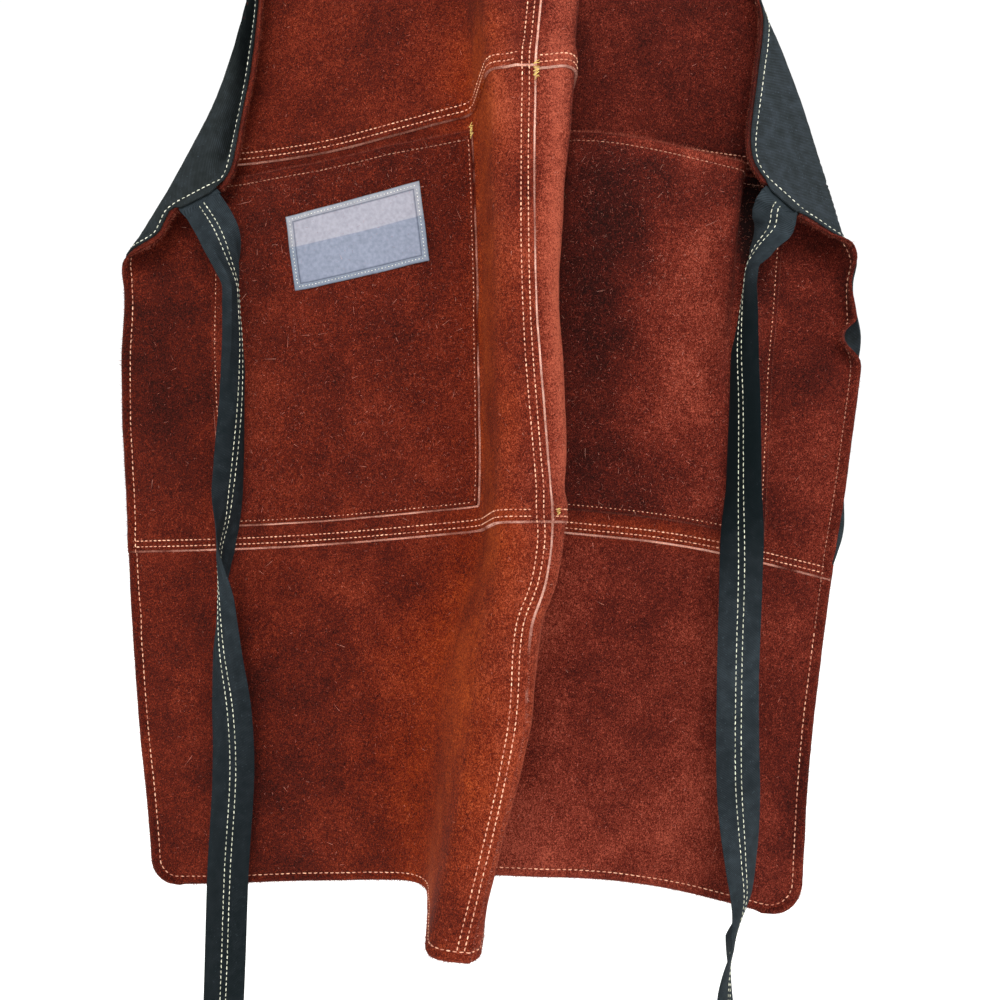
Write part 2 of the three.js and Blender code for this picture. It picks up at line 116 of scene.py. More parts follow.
SIDES = named(SIDE_COLUMNS + " rightX rightY rightDrop", [
    [0, -259, 25, 10, 6, -2, -5, 1.5, 219, 12, 31],
    [127, -270, 30, 17, 14, 4, 3, 10, 227, 14, 35],
    [254, -280, 35, 25, 21, 8, 8, 18, 242, 12, 44],
    [403, -287, 36, 28, 23, 6, 9, 19, 262, 12, 43],
    [478, -287, 36, 30, 29, 5, 14, 30, 264, 12, 48],
    [552, -317, 36, 33, 36, 6, 21, 41, 302, 12, 54],
    [640, -310, 34, 30, 32, 4, 20, 36, 296, 12, 46],
    [760, -266, 28, 14, 13, 2, 9, 14, 266, 12, 18],
    [880, -235, 16, 0, 0, 0, 0, 0, 245, 10, 0],
])
SHOULDER_BACK, LEFT_BOW, RIGHT_BOW = 5, 8, 3
# How far each corner of a section is rounded off along the lines that meet there.
BEND, RIGHT_VALLEY, SHOULDER, CREST = 60, 9, 11, 10
MOST_OF_SIDE, ARC_STEPS = 0.48, 12
FOLDS = named("topX topZ lowX lowZ radius turn fade bow", [
    [-177, -486, -301, -748, 10, 160, 0.0022, -20.6],
    [183, -534, 250, -725, 10, 160, 0.0022, 4.8],
])
CUT_FROM, CUT_BLEND = 478, 24
CUTS = {
    -1: named("up half", [
        [478, 359], [495, 365], [512, 366], [521, 360], [529, 354], [548, 356], [562, 359], [570, 361],
        [581, 356], [609, 329], [638, 308], [676, 278], [760, 214], [880, 150],
    ]),
    1: named("up half", [
        [478, 320], [508, 324], [529, 332], [546, 340], [567, 345], [579, 347], [589, 346], [598, 342],
        [609, 330], [634, 288], [658, 244], [672, 229], [700, 210], [780, 176], [880, 150],
    ]),
}

print(len(RIDGE["up"]), "rows for the ridge,", len(SIDES["up"]), "for the sides")

# %% Level sections, rounded at their corners
# Numbers of the corners of a section, counted from the left edge.
LEFT_EDGE, LEFT_DIP, LEFT_SHOULDER, SEAM, RIGHT_DIP, RIGHT_EDGE = 0, 2, 3, 4, 6, 8


def between(table, column, up):
    """A smooth value between the rows of a table."""
    at, value = table["up"], table[column]
    last = len(at) - 1
    i = np.clip(np.searchsorted(at, up) - 1, 0, last - 1)
    k = np.arange(last + 1)
    after, before = np.minimum(k + 1, last), np.maximum(k - 1, 0)
    slope = (value[after] - value[before]) / (at[after] - at[before])
    span = at[i + 1] - at[i]
    t = (up - at[i]) / span
    rise = value[i + 1] - value[i]
    bend, back = slope[i] * span - rise, rise - slope[i + 1] * span
    return value[i] + rise * t + t * (1 - t) * (bend * (1 - t) + back * t)


def level_sections(ups):
    """Points of each section [row, point, xyz], and the lengths out from the centre seam."""
    r = {name: between(RIDGE, name, ups) for name in RIDGE}
    s = {name: between(SIDES, name, ups) for name in SIDES}

    def at(x, y, drop):
        return np.stack([x, y, r["z"] - drop], -1)

    def side_bend(side, valley, bow):
        x = (s[side + "X"] + r[valley + "X"]) / 2
        y = (s[side + "Y"] + r[valley + "Y"]) / 2 + bow
        return at(x, y, s[side + "MidDrop"])

    back = r["seamY"] + SHOULDER_BACK
    corners = [
        (at(s["leftX"], s["leftY"], s["leftDrop"]), 0),
        (side_bend("left", "valleyL", LEFT_BOW), BEND),
        (at(r["valleyLX"], r["valleyLY"], s["valleyDrop"]), r["softL"][:, None]),
        (at(r["seamX"] - r["leftReach"], back, 0), SHOULDER),
        (at(r["seamX"], r["seamY"], r["crestDrop"]), CREST),
        (at(r["seamX"] + r["rightReach"], back, 0), SHOULDER),
        (at(r["valleyRX"], r["valleyRY"], s["valleyRDrop"]), RIGHT_VALLEY),
        (side_bend("right", "valleyR", RIGHT_BOW), BEND),
        (at(s["rightX"], s["rightY"], s["rightDrop"]), 0),
    ]
    points, middle = [corners[0][0]], [0]
    for (a, _), (c, reach), (b, _) in zip(corners, corners[1:], corners[2:]):
        to_a = np.linalg.norm(a - c, axis=-1, keepdims=True)
        to_b = np.linalg.norm(b - c, axis=-1, keepdims=True)
        cut = np.minimum(reach, MOST_OF_SIDE * np.minimum(to_a, to_b))
        start, end = c + (a - c) * cut / to_a, c + (b - c) * cut / to_b
        middle.append(len(points) + ARC_STEPS // 2)
        for t in np.linspace(0, 1, ARC_STEPS + 1):
            points.append((1 - t) ** 2 * start + 2 * t * (1 - t) * c + t * t * end)
    middle.append(len(points))
    points.append(corners[-1][0])
    points = np.stack(points, 1)
    steps = np.linalg.norm(np.diff(points, axis=1), axis=-1)
    out = np.concatenate([np.zeros((len(ups), 1)), np.cumsum(steps, 1)], 1)
    out -= out[:, [middle[SEAM]]]
    return points, out, out[:, middle]


STEP = 2.0
UPS = np.arange(-40.0, 922.0, STEP)
OUTS = np.arange(-420.0, 421.0, STEP)
section_points, section_out, STATIONS = level_sections(UPS)
hem_stations = STATIONS[np.searchsorted(UPS, 0)]
print(len(UPS), "sections; flat hem", round(float(np.ptp(hem_stations))), "mm wide")

# %% The cut outline
def smoothstep(low, high, value):
    """Zero at low, one at high and a soft change between; low may be the greater."""
    t = np.clip((value - low) / (high - low), 0, 1)
    return t * t * (3 - 2 * t)


def station(number, up):
    """How far out from the centre seam a numbered corner of the section lies."""
    return np.interp(up, UPS, STATIONS[:, number])


def cut_edge(side, up):
    """Half width of the cut at a height: a straight side, a round hem corner, then the armhole."""
    straight = np.abs(station(LEFT_EDGE if side < 0 else RIGHT_EDGE, up))
    radius = CORNER_RADIUS[side]
    inward = np.clip(radius - up, 0, radius)
    hem = straight - radius + np.sqrt(radius**2 - inward**2)
    shaped = between(CUTS[side], "half", np.clip(up, CUT_FROM, BIB_TOP))
    upper = smoothstep(CUT_FROM, CUT_FROM + CUT_BLEND, up)
    return np.where(up < radius, hem, straight + (shaped - straight) * upper)


print("half widths at the waist:", [round(float(cut_edge(side, WAIST))) for side in (-1, 1)])

# %% [markdown]
# ## Softness
# Hide never hangs quite true. A little uneven swell, a few millimetres at hand size and less at
# finger size, keeps the panels from looking pressed, and the raw side edges turn up a little. Each
# piece could get its own noise modifier, but then the layers would cut through each other, so both are
# added to the one shared form.

# %% Uneven swell, then one table of the whole form
NOISE_CELLS, NOISE_FROM = 64, (31.5, 11.5)


def smooth_noise(out, up, cell, seed):
    """Even, seeded noise from -1 to 1 that changes over a cell of this many millimetres."""
    grid = np.random.default_rng(seed).uniform(-1, 1, (NOISE_CELLS, NOISE_CELLS))
    u, v = out / cell + NOISE_FROM[0], up / cell + NOISE_FROM[1]
    i, j = np.floor(u).astype(int), np.floor(v).astype(int)
    s, t = u - i, v - j
    s, t = s * s * (3 - 2 * s), t * t * (3 - 2 * t)

    def g(a, b):
        return grid[a % NOISE_CELLS, b % NOISE_CELLS]

    low = g(i, j) * (1 - s) + g(i + 1, j) * s
    high = g(i, j + 1) * (1 - s) + g(i + 1, j + 1) * s
    return low * (1 - t) + high * t


def uneven(out, up, layers):
    """Noise of several sizes, added up; a layer is a cell in millimetres, an amount and a seed."""
    return sum(amount * smooth_noise(out, up, cell, seed) for cell, amount, seed in layers)


SWELL = [(95, 3.2, 3), (42, 1.3, 5), (18, 0.45, 8)]
grid_out, grid_up = np.meshgrid(OUTS, UPS)
swell = uneven(grid_out, grid_up, SWELL)
EDGE_TURN = {-1: (8.0, 2.5), 1: (10.0, 5.0)}
for side, (reach, height) in EDGE_TURN.items():
    inside = np.clip(cut_edge(side, np.clip(grid_up, 0, BIB_TOP)) - side * grid_out, 0, reach)
    swell += height * (1 - inside / reach) ** 2
# Every section runs on straight past its edges, so that points just beyond them can be looked up.
END = 200.0
FORM = np.empty((len(UPS), len(OUTS), 3))
for row, (points, out) in enumerate(zip(section_points, section_out)):
    first = points[0] + (points[0] - points[1]) / (out[1] - out[0]) * END
    final = points[-1] + (points[-1] - points[-2]) / (out[-1] - out[-2]) * END
    line = np.vstack([first, points, final])
    length = np.concatenate([[out[0] - END], out, [out[-1] + END]])
    for axis in range(3):
        FORM[row, :, axis] = np.interp(OUTS, length, line[:, axis])
across_form, up_form = np.gradient(FORM, axis=1), np.gradient(FORM, axis=0)
normal_form = np.cross(across_form, up_form)
normal_form /= np.linalg.norm(normal_form, axis=-1, keepdims=True)
FORM += normal_form * swell[..., None]
print("swell from", round(float(swell.min()), 1), "to", round(float(swell.max()), 1), "mm")

# %% [markdown]
# ## Rolled corners and curled edges
# Each waist corner rolls forward about a slanting line and shows its lined back. The right edge below
# it rolls forward too, with the lining, and curls away from the lining in two short stretches. All
# of it is the same move: what lies past a line is wound round a cylinder, and what is left over runs
# on straight. A bend modifier would wind a whole object at once, and here only some edges turn.

# %% Rolling the cloth
CURLS = named("up tall reach radius lined", [
    [430, 19, 19, 6, 0],
    [290, 36, 5, 4, 0],
    [478, 44, 20, 9, 1],
])
CURL_TURN, TINY = math.radians(150), 1e-9
CREASES = named("topX topZ lowX lowZ wide deep", [
    [-181, -530, -205, -664, 5, 16],
])
# A crease fades in and out along its line, and shows only on cloth that is wound this far round.
CREASE_START, CREASE_END, CREASE_WOUND = (-0.25, 0.2), (0.75, 1.1), (1.6, 2.6)


def roll(past, radius, most):
    """How far a point moves across and forward when it is wound round a cylinder, and its turn."""
    past = np.maximum(past, 0)
    turn = np.minimum(past / radius, most)
    rest = past - turn * radius
    across = radius * np.sin(turn) + rest * np.cos(turn) - past
    return across, radius * (1 - np.cos(turn)) + rest * np.sin(turn), turn


def from_line(p, top_x, top_z, low_x, low_z):
    """Distance outwards from a slanting line in the picture plane, and the share along it."""
    along = np.array([low_x - top_x, low_z - top_z])
    length = np.linalg.norm(along)
    along = along / length
    outward = np.array([-along[1], along[0]]) * np.sign(-along[1] * low_x)
    dx, dz = p[..., 0] - top_x, p[..., 2] - top_z
    return dx * outward[0] + dz * outward[1], (dx * along[0] + dz * along[1]) / length, outward


print(len(FOLDS["radius"]), "rolled corners and", len(CURLS["up"]), "curled stretches of the right edge")

# %% The form with its corners rolled and its edges curled
def spread(out, up):
    """The hanging form before its corners roll, looked up in the table."""
    u = np.clip((out - OUTS[0]) / STEP, 0, len(OUTS) - 2)
    v = np.clip((up - UPS[0]) / STEP, 0, len(UPS) - 2)
    i, j = np.floor(u).astype(int), np.floor(v).astype(int)
    s, t = (u - i)[..., None], (v - j)[..., None]
    low = FORM[j, i] * (1 - s) + FORM[j, i + 1] * s
    high = FORM[j + 1, i] * (1 - s) + FORM[j + 1, i + 1] * s
    return low * (1 - t) + high * t


def edge_curl(up, curled):
    """How much of the right edge is rolled up at a height, and how tightly."""
    reaches, weighted, total = [], 0, 0
    for at, tall, most, radius, lined in zip(*CURLS.values()):
        if curled or lined:
            reach = most * np.exp(-(((up - at) / tall) ** 2))
            reaches.append(reach)
            weighted = weighted + (reach**2 + TINY) * radius
            total = total + (reach**2 + TINY)
    return np.max(reaches, axis=0), weighted / total


def cloth(out, up, curled=True):
    """The hanging cloth, with its corners rolled and, on the hide, its edges curled."""
    p = spread(out, up)
    reach, radius = edge_curl(up, curled)
    across, forward, _ = roll(reach - (cut_edge(1, up) - out), radius, CURL_TURN)
    p[..., 0] += across
    p[..., 1] -= forward
    wound = np.zeros_like(p[..., 0])
    for top_x, top_z, low_x, low_z, radius, turn, fade, bow in zip(*FOLDS.values()):
        past, share, outward = from_line(p, top_x, top_z, low_x, low_z)
        share = np.clip(share, 0, 1)
        slack = fade * np.maximum(0, p[..., 2] - top_z) ** 2 + bow * 4 * share * (1 - share)
        across, forward, wind = roll(past + radius - slack, radius, math.radians(turn))
        p[..., 0] += outward[0] * across
        p[..., 2] += outward[1] * across
        p[..., 1] -= forward
        wound = np.maximum(wound, wind)
    for top_x, top_z, low_x, low_z, wide, deep in zip(*CREASES.values()):
        past, share, _ = from_line(p, top_x, top_z, low_x, low_z)
        ends = smoothstep(*CREASE_START, share) * (1 - smoothstep(*CREASE_END, share))
        p[..., 1] += deep * np.exp(-((past / wide) ** 2)) * ends * smoothstep(*CREASE_WOUND, wound)
    return p


def backing(out, up):
    """The form that the lining follows: without the short curls of the hide's edge."""
    return cloth(out, up, curled=False)


NUDGE = 1.6


def facing(out, up, surface=cloth):
    """The way that a surface looks, towards the viewer where it hangs flat."""
    across = surface(out + NUDGE, up) - surface(out - NUDGE, up)
    upward = surface(out, up + NUDGE) - surface(out, up - NUDGE)
    normal = np.cross(across, upward)
    return normal / np.linalg.norm(normal, axis=-1, keepdims=True)


def place(out, up, lift, surface=cloth):
    """A point of a sheet, lifted off its middle layer towards the outside."""
    return surface(out, up) + facing(out, up, surface) * np.asarray(lift)[..., None]


probe = place(np.array([-300.0, 290.0]), np.array([560.0, 560.0]), np.zeros(2))
print("waist corners flopped to", np.round(probe).tolist())

# %% [markdown]
# ## A sheet from a grid
# Every layer starts as Blender's grid, gets its thickness from a Solidify modifier, and is then laid
# on the form: the grid's own points become the face and Solidify's copies become the back. Solidify
# alone could give only one even thickness, and hide is thin at a skived lap and swollen at a raw edge.
# The rim keeps a material of its own, because a cut edge of hide is paler than its face.

# %% Rows and columns of a sheet
FINE_BAND, FINE, COARSE = 14.0, 1.4, 3.6


def stops(low, high, coarse=COARSE):
    """Heights or lengths from low to high, closer together near both ends."""
    fine = np.arange(0, FINE_BAND, FINE)
    count = max(2, round((high - low - 2 * FINE_BAND) / coarse))
    body = np.linspace(low + FINE_BAND, high - FINE_BAND, count + 1)
    return np.concatenate([low + fine, body, high - fine[::-1]])


def columns(start, end, coarse=COARSE):
    """Columns between two lines, closer together near both, one row of lengths for each height."""
    pattern = stops(0, float((end - start).max()), coarse)
    wide = (end - start)[:, None]
    reach = float((end - start).max())
    body = FINE_BAND + (pattern - FINE_BAND) / (reach - 2 * FINE_BAND) * (wide - 2 * FINE_BAND)
    inner = np.where(pattern < FINE_BAND, pattern, body)
    far = wide - (reach - pattern)
    return start[:, None] + np.where(pattern > reach - FINE_BAND, far, inner)


print(len(stops(0, BIB_TOP)), "rows would do for a sheet from the hem to the bib top")

# %% A sheet through two grids of points
def start_clean():
    """Object mode with nothing selected, so that an operator acts on the new piece alone."""
    if bpy.context.object and bpy.context.object.mode != "OBJECT":
        bpy.ops.object.mode_set(mode="OBJECT")
    bpy.ops.object.select_all(action="DESELECT")


def sheet(name, front, back, pattern, materials, sharp=55):
    """A thin closed sheet through a grid of face points and a grid of back points."""
    rows, wide = front.shape[:2]
    start_clean()
    bpy.ops.mesh.primitive_grid_add(x_subdivisions=wide - 1, y_subdivisions=rows - 1, size=1)
    piece = bpy.context.object
    piece.name = piece.data.name = name
    for material in materials:
        piece.data.materials.append(material)
    wall = piece.modifiers.new("wall", "SOLIDIFY")
    wall.thickness, wall.offset, wall.material_offset_rim = 0.01, -1, 1
    bpy.ops.object.modifier_apply(modifier=wall.name)
    points = np.concatenate([front.reshape(-1, 3), back.reshape(-1, 3)]) * MM
    assert len(points) == len(piece.data.vertices), (name, len(points), len(piece.data.vertices))
    piece.data.vertices.foreach_set("co", points.ravel())
    corner = np.empty(len(piece.data.loops), np.int32)
    piece.data.loops.foreach_get("vertex_index", corner)
    flat = pattern.reshape(-1, 2)[corner % (rows * wide)] * MM
    piece.data.uv_layers[0].data.foreach_set("uv", flat.ravel())
    bpy.ops.object.shade_smooth_by_angle(angle=math.radians(sharp))
    piece.data.update()
    return piece


def note(piece, name, values):
    """Keeps a number on each point of both faces for the materials to read."""
    attribute = piece.data.attributes.new(name, "FLOAT", "POINT")
    both = np.tile(np.asarray(values, np.float32).ravel(), 2)
    attribute.data.foreach_set("value", both)


print("sheet maker ready")

# %% [markdown]
# ## Materials
# All the finishes are drawn by nodes, with no pictures, so that they have no edge and no repeat. One
# function adds a node, sets it and links it. Colours are written as they look on a screen and turned
# linear once.

# %% Node helper and colours
def linear(hex_colour):
    """sRGB hex to the linear colour that a shader takes."""
    parts = [int(hex_colour[i:i + 2], 16) / 255 for i in (1, 3, 5)]
    return tuple(c / 12.92 if c <= 0.04045 else ((c + 0.055) / 1.055) ** 2.4 for c in parts) + (1.0,)


def node(tree, kind, inputs=None, stops=None, **settings):
    """Adds one node; inputs are values or the sockets that feed them, stops are a ramp's colours."""
    made = tree.nodes.new("ShaderNode" + kind)
    for name, value in settings.items():
        setattr(made, name, value)
    for name, value in (inputs or {}).items():
        if isinstance(value, bpy.types.NodeSocket):
            tree.links.new(value, made.inputs[name])
        else:
            made.inputs[name].default_value = value
    for i, (at, colour) in enumerate(stops or []):
        elements = made.color_ramp.elements
        element = elements[i] if i < 2 else elements.new(at)
        element.position, element.color = at, linear(colour)
    return made


def new_material(name):
    """An empty node material and its tree."""
    made = bpy.data.materials.new(name)
    made.use_nodes = True
    made.node_tree.nodes.clear()
    return made, made.node_tree


def every(size):
    """Texture scale for a pattern that repeats over this many millimetres."""
    return 1 / (size * MM)


print("mid suede in linear light:", [round(c, 3) for c in linear("#6e2d22")[:3]])

# %% [markdown]
# ### Split suede
# Suede is the fleshy inner split of a hide, sanded to a nap. Its look is thousands of short fibres:
# pale tips over dark gaps, brushed into soft blotches. Real hairs over the whole hide would be far too
# many faces, so noise of four sizes stands in for them. Numbers kept on the panels set a rust tint,
# partly painted warm bounce light on the flank, a tone that is partly nap and partly painted light and
# shade, and the pale of a cut.

# %% Split suede
# Real fibres are about half a millimetre thick and too fine to show, so they are drawn coarser here,
# and coarser still in depth, so that the steep flank of the ridge shows them as well.
FIBRE, TUFT, BLOTCH, PATCH, TINT_GRAIN = 0.75, 3.4, 20.0, 70.0, 9.0
STROKES, STRETCH = (38, -27), (1, 0.35, 0.8)


def split_suede(name, pale_rim):
    """Napped hide: a fibre grain over brushed blotches; the rim material is paler."""
    material, tree = new_material(name)
    where = node(tree, "TexCoord").outputs["Object"]

    def grain(size, detail, rough, swirl=0.0, along=where):
        wanted = {"Scale": every(size), "Detail": detail, "Roughness": rough, "Distortion": swirl}
        return node(tree, "TexNoise", {"Vector": along, **wanted}).outputs["Fac"]

    def strokes(turn):
        stretch = {"Vector": where, "Rotation": (0, math.radians(turn), 0), "Scale": STRETCH}
        return grain(FIBRE, 2.0, 0.6, 1.2, node(tree, "Mapping", stretch).outputs["Vector"])

    def mixed(a, b, weight):
        part = node(tree, "Math", {0: b, 1: -0.5}, operation="ADD").outputs[0]
        return node(tree, "Math", {0: part, 1: weight, 2: a}, operation="MULTIPLY_ADD").outputs[0]

    crossed = {i: strokes(turn) for i, turn in enumerate(STROKES)}
    fibre = node(tree, "Math", crossed, operation="MAXIMUM").outputs[0]
    tuft = grain(TUFT, 2.0, 0.6)
    # The kept nap number: partly the nap's own tone, partly painted light and shade.
    nap_and_painted_light = node(tree, "Attribute", attribute_name="nap_and_painted_light").outputs["Fac"]
    tone = mixed(0.3, fibre, 2.7)
    layers = [(tuft, 0.4), (grain(BLOTCH, 2.0, 0.5), 0.38), (grain(PATCH, 1.0, 0.5), 0.34)]
    for layer, weight in layers:
        tone = mixed(tone, layer, weight)
    tone = node(tree, "Math", {0: tone, 1: nap_and_painted_light}, operation="ADD").outputs[0]
    red = node(tree, "ValToRGB", {"Fac": tone}, stops=[
        (0.02, "#110302"), (1.0, "#a3503b"), (0.3, "#320905"), (0.52, "#4f140b"), (0.78, "#6f271a"),
    ]).outputs["Color"]
    rust_and_bounce = node(tree, "ValToRGB", {"Fac": tone}, stops=[
        (0.02, "#1c0400"), (1.0, "#ad4e1c"), (0.36, "#561202"), (0.6, "#792304"),
    ]).outputs["Color"]
    # The kept rust number: a rust tint that is partly painted warm bounce light on the flank.
    tint_share = node(tree, "Attribute", attribute_name="rust_and_bounce").outputs["Fac"]
    tint_share = node(tree, "Math", {0: tint_share, 1: grain(TINT_GRAIN, 2.0, 0.6), 2: tint_share}, operation="MULTIPLY_ADD")
    tint_share = node(tree, "Math", {0: tint_share.outputs[0], 1: 0.75}, operation="MULTIPLY", use_clamp=True)
    colour = node(tree, "Mix", {0: tint_share.outputs[0], 6: red, 7: rust_and_bounce}, data_type="RGBA").outputs[2]
    if pale_rim:
        pale = node(tree, "Attribute", attribute_name="pale").outputs["Fac"]
        cut = node(tree, "ValToRGB", {"Fac": tone}, stops=[
            (0.1, "#aa5c48"), (0.9, "#ffdac8"), (0.5, "#eca48c"),
        ]).outputs["Color"]
        colour = node(tree, "Mix", {0: pale, 6: colour, 7: cut}, data_type="RGBA").outputs[2]
    height = mixed(fibre, tuft, 0.6)
    bump = node(tree, "Bump", {"Height": height, "Strength": 0.9, "Distance": 1.3 * MM})
    shader = node(tree, "BsdfPrincipled", {
        "Base Color": colour, "Normal": bump.outputs["Normal"],
        "Roughness": 0.95, "Specular IOR Level": 0.12,
        "Sheen Weight": 0.03, "Sheen Roughness": 0.55, "Sheen Tint": linear("#c07a60"),
    })
    node(tree, "OutputMaterial", {"Surface": shader.outputs["BSDF"]})
    return material


suede = split_suede("split_suede_nap", False)
cut_suede = split_suede("split_suede_cut_edge", True)
print("materials:", suede.name, cut_suede.name)

# %% [markdown]
# ### Black twill
# The lining, ties and strap are cotton twill: steep ribs of warp, dull, dyed a black that looks
# blue-green in daylight, with a little lint. A kept number makes each piece lighter or darker: painted
# light and shade on the ties and in a rolled strip of the lining, and a little lighter on the lining's
# right side. Weaving real yarns would take millions of faces, so a wave along the cloth's own flat
# pattern draws the ribs and lifts them.

# %% Black twill
# The ribs are 0.6 mm apart on the real cloth and are drawn near 1 mm, so that they show.
RIB, SLUB, LINT = 1.05, 7.0, 1.3
RIB_TURN = math.radians(63)
WAVE_PERIOD = math.pi / 10


def black_twill(name, dark, mid, light):
    """Cotton twill: slanting ribs that follow the cloth, linty in patches, with painted light and shade.
    """
    material, tree = new_material(name)
    flat = node(tree, "UVMap").outputs["UV"]
    turned = node(tree, "Mapping", {"Vector": flat, "Rotation": (0, 0, RIB_TURN)}).outputs["Vector"]
    rib = node(tree, "TexWave", {
        "Vector": turned, "Scale": WAVE_PERIOD * every(RIB), "Distortion": 0.8, "Detail": 1.0,
    }).outputs["Fac"]
    where = node(tree, "TexCoord").outputs["Object"]
    slub = node(tree, "TexNoise", {"Vector": where, "Scale": every(SLUB), "Detail": 5.0}).outputs["Fac"]
    lint = node(tree, "TexNoise", {"Vector": where, "Scale": every(LINT), "Detail": 1.0}).outputs["Fac"]
    lint = node(tree, "MapRange", {0: lint, 1: 0.66, 2: 0.80, 3: 0.0, 4: 0.4}).outputs[0]
    slub = node(tree, "Math", {0: slub, 1: 0.45, 2: 0.27}, operation="MULTIPLY_ADD").outputs[0]
    tone = node(tree, "Math", {0: rib, 1: 0.22, 2: slub}, operation="MULTIPLY_ADD").outputs[0]
    tone = node(tree, "Math", {0: tone, 1: lint}, operation="ADD").outputs[0]
    # A kept number makes the cloth lighter or darker: painted light and shade, and the lining's lighter
    # right.
    painted_light_and_tone = node(tree, "Attribute", attribute_name="painted_light_and_tone").outputs["Fac"]
    tone = node(tree, "Math", {0: tone, 1: painted_light_and_tone}, operation="ADD").outputs[0]
    colour = node(tree, "ValToRGB", {"Fac": tone}, stops=[(0.3, dark), (1.05, light), (0.62, mid)])
    bump = node(tree, "Bump", {"Height": rib, "Strength": 0.35, "Distance": 0.35 * MM})
    shader = node(tree, "BsdfPrincipled", {
        "Base Color": colour.outputs["Color"], "Normal": bump.outputs["Normal"],
        "Roughness": 0.85, "Specular IOR Level": 0.06,
        "Sheen Weight": 0.03, "Sheen Roughness": 0.5, "Sheen Tint": linear("#8fa3a8"),
    })
    node(tree, "OutputMaterial", {"Surface": shader.outputs["BSDF"]})
    return material


lining_twill = black_twill("black_lining_twill", "#090e0f", "#1e2222", "#373e45")
# The ties are drawn in a darker twill than the lining, partly as painted shade of their folds.
tie_twill = black_twill("black_tie_twill", "#070f11", "#181d20", "#31393e")
print("materials:", lining_twill.name, tie_twill.name)

# %% [markdown]
# ### Thread and label
# The seams are sewn in thick cotton-wrapped thread, peach on the leather and paler on the
# ties. A picture of a seam could be laid on the hide, but modelled stitches catch the light, so the
# thread needs only a matte colour, and every stitch carries its own shade. The label is a fine woven
# patch in grey-blue with a paler upper field, left blank.

# %% Thread
PLY = 0.5


def sewing_thread(name, dull, bright):
    """Spun thread: matte, a little different from stitch to stitch."""
    material, tree = new_material(name)
    shade = node(tree, "Attribute", attribute_name="shade").outputs["Fac"]
    colour = node(tree, "ValToRGB", {"Fac": shade}, stops=[(0.0, dull), (1.0, bright)])
    where = node(tree, "TexCoord").outputs["Object"]
    ply = node(tree, "TexNoise", {"Vector": where, "Scale": every(PLY), "Detail": 1.0}).outputs["Fac"]
    bump = node(tree, "Bump", {"Height": ply, "Strength": 0.5, "Distance": 0.2 * MM})
    shader = node(tree, "BsdfPrincipled", {
        "Base Color": colour.outputs["Color"], "Normal": bump.outputs["Normal"],
        "Roughness": 0.7, "Specular IOR Level": 0.25, "Sheen Weight": 0.15, "Sheen Roughness": 0.4,
    })
    node(tree, "OutputMaterial", {"Surface": shader.outputs["BSDF"]})
    return material


seam_thread = sewing_thread("peach_seam_thread", "#b46a52", "#f9bf9d")
tie_thread = sewing_thread("pale_tie_thread", "#9c9e8a", "#e2e2cb")
# Duller thread: for the pocket mouths, and as painted shade on a stretch of the right edge row.
dull_shaded_thread = sewing_thread("dull_and_painted_shade_thread", "#7d4636", "#c08a70")
tack_thread = sewing_thread("gold_tack_thread", "#a87c34", "#e9cc78")
white_thread = sewing_thread("white_hem_thread", "#a9ab98", "#e9e7d3")
threads = [seam_thread, tie_thread, dull_shaded_thread, tack_thread, white_thread]
print("threads:", [thread.name for thread in threads])

# %% Woven label
LABEL = dict(wide=100, tall=59, out=176, up=478, tilt=4, lean=0.06, thick=0.7)
LABEL_FOLD, FIELD_CHANGE, FIELD_BLEND = 10, 4, 0.6
WEFT, LABEL_SLUB = 0.9, 3.0


